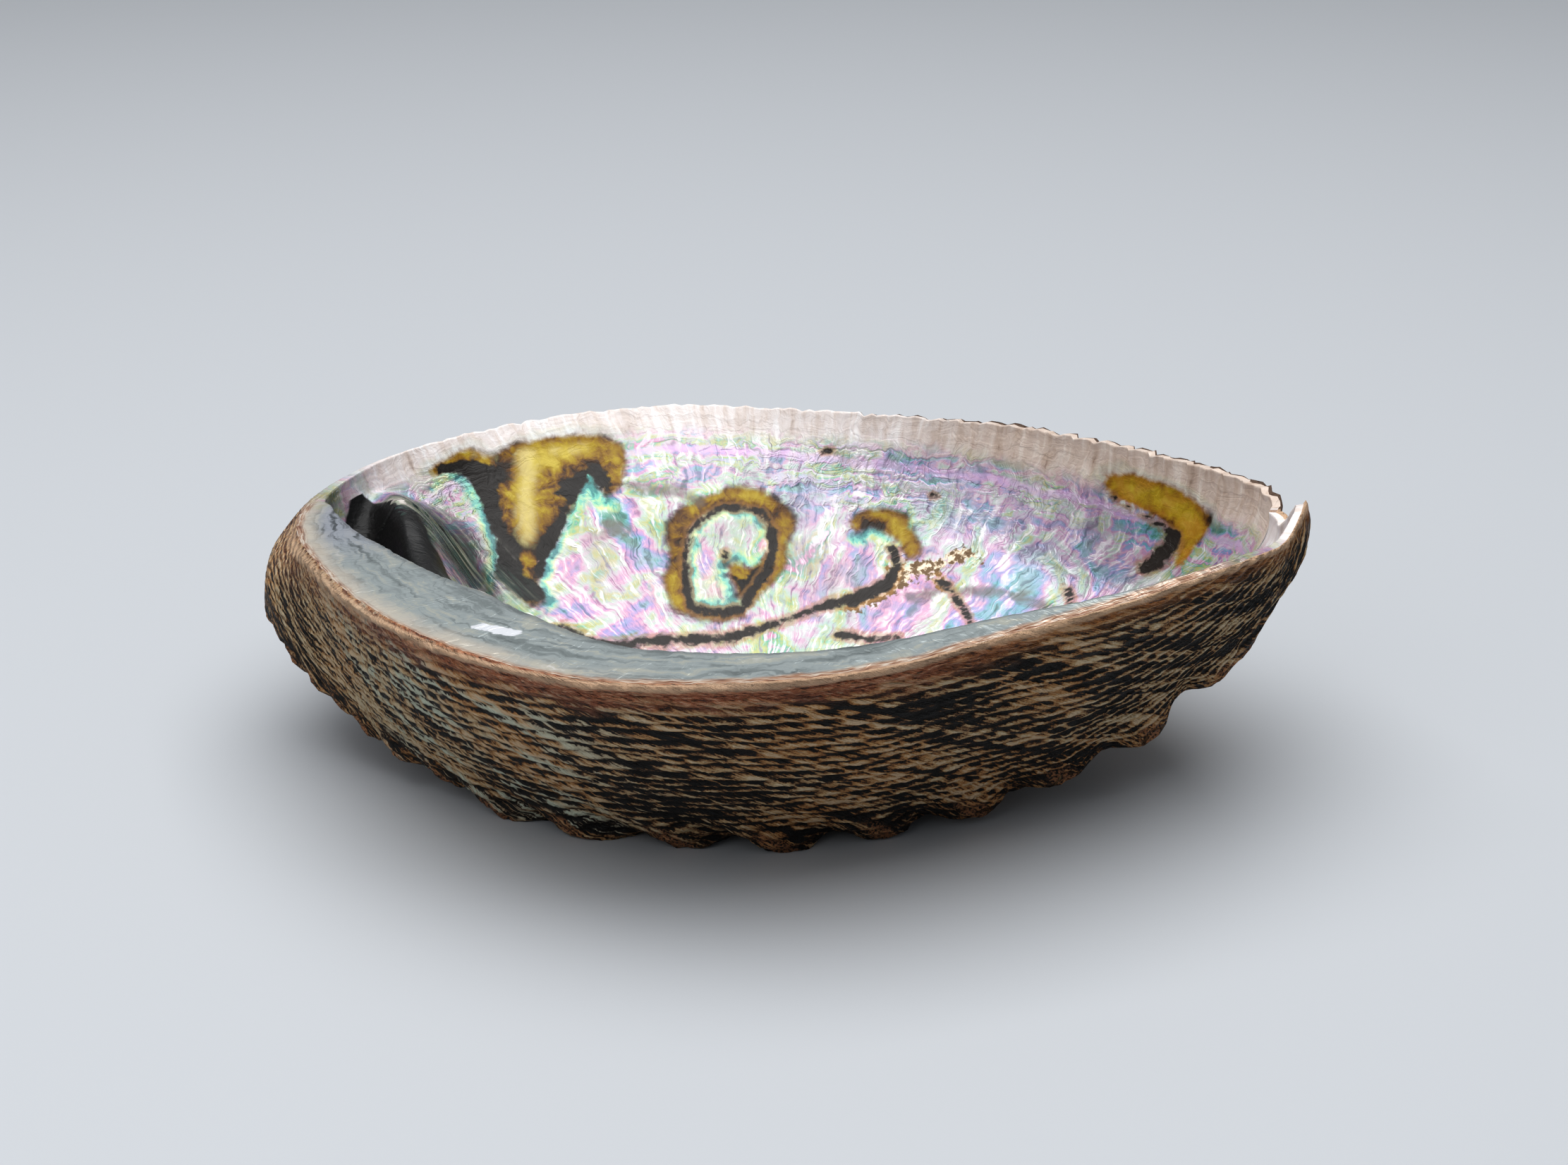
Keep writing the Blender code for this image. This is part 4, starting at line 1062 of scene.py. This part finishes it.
    # Green and blue rims round the dark marks, then amber with a dark edge and a golden heart, then black.
    ragged = plus((patch, 2.4), (crackle, 1.2), (fine_warp, 0.7))
    amber = bench.sum("ADD", bench.number("amber"), ragged)
    black = bench.sum("ADD", bench.number("black"), bench.sum("MULTIPLY", ragged, 0.9))
    thin = plus((bench.number("lines"), 1.0), (patch, 1.6), (crackle, 1.2), (fine_warp, 0.6))
    nearest = bench.sum("MINIMUM", amber, black)
    on_island = bench.between(bench.number("island"), 1.0, -0.5, 0.18, 0.9)
    halo = bench.between(bench.sum("MULTIPLY_ADD", cloud, 3.0, nearest), 2.5, 0.7)
    halo = bench.sum("MULTIPLY", halo, on_island)
    halo_at = plus((nearest, 0.20), (patch, 0.9), (crackle, 0.5))
    halo_colour = bench.ramp(halo_at, [
        (0.02, (0.05, 0.20, 0.19)), (0.14, (0.14, 0.42, 0.34)), (0.28, (0.36, 0.56, 0.32)),
        (0.42, (0.60, 0.66, 0.28)), (0.56, (0.44, 0.60, 0.50)),
    ])
    pearl = bench.mix(halo, pearl, halo_colour)
    depth = bench.sum("MINIMUM", bench.sum("ADD", bench.number("island"), ragged), black)
    depth = bench.sum("MINIMUM", bench.sum("MULTIPLY_ADD", amber, -1.0, 1.0), depth)
    gold = bench.ramp(plus((depth, 0.13), (patch, 1.3), (crackle, 0.8), (brush, 0.25)), [
        (0.04, (0.022, 0.009, 0.002)), (0.18, (0.11, 0.042, 0.004)), (0.34, (0.26, 0.135, 0.005)),
        (0.56, (0.40, 0.27, 0.010)), (0.86, (0.58, 0.45, 0.06)),
    ], "LINEAR")
    front = bench.sum("MULTIPLY", bench.between(turn, 60.0, 40.0), bench.between(patch, -0.1, 0.12, 0.0, 0.5))
    gold = bench.mix(front, gold, (0.34, 0.11, 0.012, 1.0), "MIX")
    core = bench.between(plus((bench.number("core"), 1.0), (patch, 5.0), (crackle, 3.0)), 0.8, -1.8, 0.0, 0.6)
    gold = bench.mix(core, gold, (0.86, 0.74, 0.30, 1.0))
    pearl = bench.mix(bench.between(amber, 0.5, -0.9), pearl, gold)
    smoke = plus((bench.number("smoke"), 1.0), (patch, 3.0), (crackle, 1.6))
    pearl = bench.mix(bench.between(smoke, 0.9, -0.6, 0.0, 0.75), pearl, (0.13, 0.11, 0.10, 1.0))
    sand = plus((bench.number("sand"), 1.0), (fine_warp, 4.0), (crackle, 2.0))
    sand_colour = bench.mix(bench.between(fine_warp, -0.06, 0.1), (0.12, 0.07, 0.03, 1.0),
                            (0.72, 0.60, 0.44, 1.0))
    pearl = bench.mix(bench.between(sand, 0.5, -0.3), pearl, sand_colour)
    pearl = bench.mix(bench.between(black, 0.35, -0.2), pearl, (0.012, 0.009, 0.007, 1.0))
    pearl = bench.mix(bench.between(thin, 0.95, 0.35, 0.0, 0.55), pearl, (0.30, 0.15, 0.04, 1.0))
    pearl = bench.mix(bench.between(thin, 0.35, -0.15), pearl, (0.018, 0.013, 0.010, 1.0))

    # The shelf: smooth and blue-grey, softly streaked along its length, with a brown and pale margin.
    streaks = plus((combed(0.05, 0.5, 6.0, 3.0, 0.6), 1.0), (patch, 0.18), (crackle, 0.12))
    shelf_colour = bench.ramp(streaks, [
        (0.24, (0.09, 0.10, 0.10)), (0.38, (0.22, 0.25, 0.25)), (0.52, (0.34, 0.38, 0.38)),
        (0.64, (0.43, 0.44, 0.39)), (0.78, (0.66, 0.66, 0.66)),
    ])
    cream = bench.sum("MULTIPLY", bench.between(plus((from_rim, 1.0), (warp, 6.0)), 6.5, 2.0, 0.0, 0.7),
                      bench.between(turn, 262.0, 225.0))
    shelf_colour = bench.mix(cream, shelf_colour, (0.66, 0.58, 0.48, 1.0))
    on_shelf = bench.sum("MULTIPLY", bench.between(turn, 160.0, 172.0), bench.between(turn, 344.0, 330.0))
    # Near the spire the inner part of the shelf is painted dark and streaked, as painted shade where it meets
    # the hollow under the spire.
    shade_by_spire = bench.sum("MULTIPLY", bench.between(turn, 196.0, 176.0), bench.between(from_rim, 3.0, 6.0))
    shelf_painted_shade = bench.mix(bench.between(streaks, 0.40, 0.56), (0.05, 0.055, 0.07, 1.0), (0.34, 0.36, 0.42, 1.0))
    shelf_colour = bench.mix(bench.sum("MULTIPLY", shade_by_spire, 0.8), shelf_colour, shelf_painted_shade)
    shelf = bench.sum("MULTIPLY", on_shelf, bench.between(from_rim, 22.0, 15.0))
    pearl = bench.mix(shelf, pearl, shelf_colour)
    chip = plus((bench.number("chip"), 1.0), (patch, 1.5), (crackle, 1.5))
    pearl = bench.mix(bench.between(chip, 0.25, -0.15), pearl, (0.80, 0.82, 0.86, 1.0))
    margin = bench.sum("MULTIPLY", on_shelf, bench.between(plus((from_rim, 1.0), (warp, 2.0)), 2.6, 1.4))
    margin_colour = bench.ramp(combed(0.3, 3.0, 1.0, 2.0, 0.1), [
        (0.34, (0.20, 0.08, 0.045)), (0.48, (0.44, 0.27, 0.18)), (0.64, (0.72, 0.62, 0.52)),
    ])
    pearl = bench.mix(margin, pearl, margin_colour)

    # The curtain of the fold, dark and streaked, and the hollow behind it painted black as shade.
    swayed = plus((turn, 1.0), (warp, 14.0), (patch, 8.0))
    curtain = bench.sum("MULTIPLY", bench.between(swayed, 142.0, 152.0), bench.between(swayed, 176.0, 164.0))
    curtain = bench.sum("MULTIPLY", curtain, bench.between(from_rim, 8.0, 12.0))
    curtain = bench.sum("MULTIPLY", curtain, bench.between(plus((from_rim, 1.0), (patch, 12.0)), 44.0, 26.0))
    hanging = bench.vector(bench.sum("MULTIPLY", turn, 0.7), bench.sum("MULTIPLY", from_rim, 0.06), 3.0)
    folds = bench.noise(hanging, 1.0, 3.0, 0.6, 0.5)
    curtain_colour = bench.ramp(folds, [
        (0.42, (0.008, 0.010, 0.010)), (0.52, (0.03, 0.07, 0.055)), (0.60, (0.20, 0.22, 0.17)),
        (0.72, (0.56, 0.50, 0.48)),
    ])
    pearl = bench.mix(bench.sum("MULTIPLY", curtain, 0.95), pearl, curtain_colour)
    hollow = bench.between(plus((bench.number("hollow"), 1.0), (patch, 0.5)), 0.35, 0.65)
    pearl = bench.mix(hollow, pearl, (0.006, 0.006, 0.006, 1.0))
    bench.feed(finish.inputs["Base Color"], pearl)

    dark = bench.sum("MAXIMUM", bench.between(bench.sum("MINIMUM", nearest, thin), 0.4, -0.4), hollow)
    polish = bench.sum("MULTIPLY_ADD", crackle, 0.2, bench.between(lip, 0.0, 1.0, 0.19, 0.36))
    bench.feed(finish.inputs["Roughness"], bench.sum("MULTIPLY_ADD", dark, 0.25, polish))
    bench.feed(finish.inputs["Metallic"],
               bench.sum("MULTIPLY", bench.sum("SUBTRACT", 1.0, bench.sum("MAXIMUM", lip, dark)), 0.3))
    height = plus((brush, 0.8), (growth, bench.sum("MULTIPLY_ADD", upper, 0.9, 0.1)), (patch, 0.5))
    ripple = bench.bump(height, 0.0006, 0.45)
    ripple = bench.bump(crackle, 0.00015, 0.3, ripple)
    bench.feed(finish.inputs["Normal"], ripple)
    finish.inputs["Specular IOR Level"].default_value = 0.3
    finish.inputs["Coat Weight"].default_value = 0.08
    finish.inputs["Coat Roughness"].default_value = 0.12
    return material


def pore_rods(centre):
    """The open pores as one mesh of round rods, each crossing the ridge along its own slant."""
    points, faces = [], []
    around = 24
    for direction, place, away, spacing in ridge_knobs()[:OPEN_PORES]:
        turn = math.radians(direction)
        side = np.array([-math.sin(turn), math.cos(turn), 0.0])
        up = np.cross(away, side)
        half = 1.6 * MM * spacing / KNOB_SPACING_MOST
        first = len(points)
        for reach in (-8.0 * MM, 8.0 * MM):
            for step in range(around):
                a = 2 * math.pi * step / around
                spot = place - centre + reach * away + half * (1.25 * math.cos(a) * side + math.sin(a) * up)
                points.append(spot.tolist())
        near, far = list(range(first, first + around)), list(range(first + around, first + 2 * around))
        faces.append(near)
        faces.append(far[::-1])
        for step in range(around):
            after = (step + 1) % around
            faces.append([near[after], near[step], far[step], far[after]])
    mesh = bpy.data.meshes.new("pore_rods")
    mesh.from_pydata(points, [], faces)
    rods = bpy.data.objects.new("pore_rods", mesh)
    bpy.context.scene.collection.objects.link(rods)
    return rods


def baked(piece, name):
    """Turns a piece with its modifiers into a plain mesh of that name."""
    bpy.context.view_layer.update()
    evaluated = piece.evaluated_get(bpy.context.evaluated_depsgraph_get())
    mesh = bpy.data.meshes.new_from_object(evaluated)
    mesh.name = name
    old = piece.data
    piece.modifiers.clear()
    piece.data = mesh
    bpy.data.meshes.remove(old)
    return mesh


class ShellSizes(bpy.types.PropertyGroup):
    """Sizes of the relief."""

    knob_height: bpy.props.FloatProperty(
        name="Knob height", description="Height of a knob as a share of the knobs' spacing", default=0.165)
    cord_height: bpy.props.FloatProperty(
        name="Cord height", description="Height of the spiral cords", default=0.4 * MM, unit="LENGTH")
    growth_line_height: bpy.props.FloatProperty(
        name="Growth line height", description="Height of the steps between growth lines",
        default=0.5 * MM, unit="LENGTH")
    swell_height: bpy.props.FloatProperty(
        name="Swell height", description="Height of the broad unevenness outside",
        default=0.8 * MM, unit="LENGTH")
    crimp_depth: bpy.props.FloatProperty(
        name="Crimp depth", description="How far the lip waves in and out", default=0.55 * MM, unit="LENGTH")
    wrinkle_height: bpy.props.FloatProperty(
        name="Wrinkle height", description="Height of the wrinkles inside", default=0.5 * MM, unit="LENGTH")


def colour_property(name, description, default):
    return bpy.props.FloatVectorProperty(name=name, description=description, default=default, size=4,
                                         min=0.0, max=1.0, subtype="COLOR")


class ShellColours(bpy.types.PropertyGroup):
    """Colours of the crust and the nacre."""

    cord_tan: colour_property("Cord tan", "Lighter colour of the cords", (0.46, 0.33, 0.20, 1.0))
    cord_brown: colour_property("Cord brown", "Browner colour of the cords", (0.42, 0.19, 0.07, 1.0))
    rim_red: colour_property("Rim red", "Red-brown band under the rim", (0.38, 0.13, 0.06, 1.0))
    rim_orange: colour_property("Rim orange", "The same band towards the front", (0.42, 0.16, 0.035, 1.0))
    knob_tip: colour_property("Knob tip", "Worn tips of the knobs", (0.44, 0.20, 0.09, 1.0))
    nacre_pink: colour_property("Nacre pink", "Pink of the nacre", (0.60, 0.32, 0.46, 1.0))


class StageSizes(bpy.types.PropertyGroup):
    """The floor and the camera."""

    floor_colour: colour_property("Floor colour", "Plain pale floor", (0.50, 0.52, 0.545, 1.0))
    elevation: bpy.props.FloatProperty(
        name="Camera elevation", description="Camera's angle above the floor", default=math.radians(22.0),
        subtype="ANGLE")
    distance: bpy.props.FloatProperty(
        name="Camera distance", description="Camera's distance from what it looks at",
        default=0.450, unit="LENGTH")
    aim_height: bpy.props.FloatProperty(
        name="Aim height", description="Height of what the camera looks at", default=0.027, unit="LENGTH")


class GrowShell(bpy.types.Operator):
    """Grows the shell's wall, raises its relief, opens its pores and gives it its finishes"""

    bl_idname = "abalone.grow_shell"
    bl_label = "Grow the shell"

    def execute(self, context):
        sizes, colours = context.scene.shell_sizes, context.scene.shell_colours
        mesh, centre = smooth_wall_mesh()
        shell = bpy.data.objects.new("abalone_shell", mesh)
        context.scene.collection.objects.link(shell)
        relief = shell.modifiers.new("relief", "NODES")
        relief.node_group = relief_tree()
        set_inputs(relief, {
            "Knob Height": sizes.knob_height,
            "Cord Height": sizes.cord_height,
            "Growth Line Height": sizes.growth_line_height,
            "Swell Height": sizes.swell_height,
            "Crimp Depth": sizes.crimp_depth,
            "Wrinkle Height": sizes.wrinkle_height,
            "Seed": 1.0,
            "Crust": crust_material(colours),
            "Nacre": nacre_material(colours),
        })
        baked(shell, "abalone_shell")
        rods = pore_rods(centre)
        pores = shell.modifiers.new("open_pores", "BOOLEAN")
        pores.operation = "DIFFERENCE"
        pores.solver = "EXACT"
        pores.object = rods
        finished = baked(shell, "abalone_shell")
        bpy.data.objects.remove(rods, do_unlink=True)
        finished.shade_smooth()
        if len(finished.polygons) == 0:
            raise RuntimeError("the shell came out empty")
        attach(shell, "root")
        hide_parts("shell")
        return {"FINISHED"}


class SetStage(bpy.types.Operator):
    """Lays the floor, and sets the camera and the lights"""

    bl_idname = "abalone.set_stage"
    bl_label = "Set the stage"

    def execute(self, context):
        stage = context.scene.stage_sizes
        floor_mesh = bpy.data.meshes.new("floor")
        half = 3.0
        floor_mesh.from_pydata(
            [(-half, -half, 0), (half, -half, 0), (half, half, 0), (-half, half, 0)], [], [(0, 1, 2, 3)])
        floor = bpy.data.objects.new("floor", floor_mesh)
        context.scene.collection.objects.link(floor)
        material, finish = new_material("floor_plain")
        finish.inputs["Base Color"].default_value = tuple(stage.floor_colour)
        finish.inputs["Roughness"].default_value = 0.45
        finish.inputs["Specular IOR Level"].default_value = 0.3
        floor_mesh.materials.append(material)

        directions = even_directions(COLUMNS)
        centre = box_middle(in_space(shell_profiles(directions), directions))
        aim = Vector((-centre[0], -centre[1], stage.aim_height))
        away = Vector((0.0, -math.cos(stage.elevation), math.sin(stage.elevation)))
        lens = bpy.data.cameras.new("camera")
        lens.lens, lens.sensor_width = 67.5, 36.0
        camera = bpy.data.objects.new("camera", lens)
        camera.location = aim + stage.distance * away
        camera.rotation_euler = (-away).to_track_quat("-Z", "Y").to_euler()
        context.scene.collection.objects.link(camera)
        context.scene.camera = camera

        for name, place, size, power in (
            ("key", (-0.02, 0.06, 0.80), 1.0, 8.4),
            ("fill", (-0.42, -0.50, 0.55), 0.6, 1.1),
        ):
            light = bpy.data.lights.new(name, "AREA")
            light.energy, light.size = power, size
            lamp = bpy.data.objects.new(name, light)
            lamp.location = place
            lamp.rotation_euler = (Vector((0, 0, 0.02)) - Vector(place)).to_track_quat("-Z", "Y").to_euler()
            context.scene.collection.objects.link(lamp)
        world = bpy.data.worlds.new("soft_room")
        world.use_nodes = True
        world.node_tree.nodes["Background"].inputs["Color"].default_value = (0.86, 0.89, 0.94, 1.0)
        world.node_tree.nodes["Background"].inputs["Strength"].default_value = 0.26
        context.scene.view_settings.view_transform = "Standard"
        context.scene.view_settings.look = "Medium High Contrast"
        context.scene.world = world
        return {"FINISHED"}


class ShellPanel(bpy.types.Panel):
    """Lists the shell's sizes, colours and steps"""

    bl_idname = "VIEW3D_PT_abalone_shell"
    bl_label = "Abalone shell"
    bl_space_type = "VIEW_3D"
    bl_region_type = "UI"
    bl_category = "Shell"

    def draw(self, context):
        for group in ("shell_sizes", "shell_colours", "stage_sizes"):
            box = self.layout.box()
            values = getattr(context.scene, group)
            for name in values.__annotations__:
                box.prop(values, name)
        for operator in (GrowShell, SetStage):
            self.layout.operator(operator.bl_idname)


CLASSES = (ShellSizes, ShellColours, StageSizes, GrowShell, SetStage, ShellPanel)


def register():
    for each in CLASSES:
        bpy.utils.register_class(each)
    bpy.types.Scene.shell_sizes = bpy.props.PointerProperty(type=ShellSizes)
    bpy.types.Scene.shell_colours = bpy.props.PointerProperty(type=ShellColours)
    bpy.types.Scene.stage_sizes = bpy.props.PointerProperty(type=StageSizes)


def unregister():
    del bpy.types.Scene.shell_sizes, bpy.types.Scene.shell_colours, bpy.types.Scene.stage_sizes
    for each in reversed(CLASSES):
        bpy.utils.unregister_class(each)


def main():
    register()
    bpy.ops.abalone.set_stage()
    bpy.ops.abalone.grow_shell()


if __name__ == "__main__":
    main()
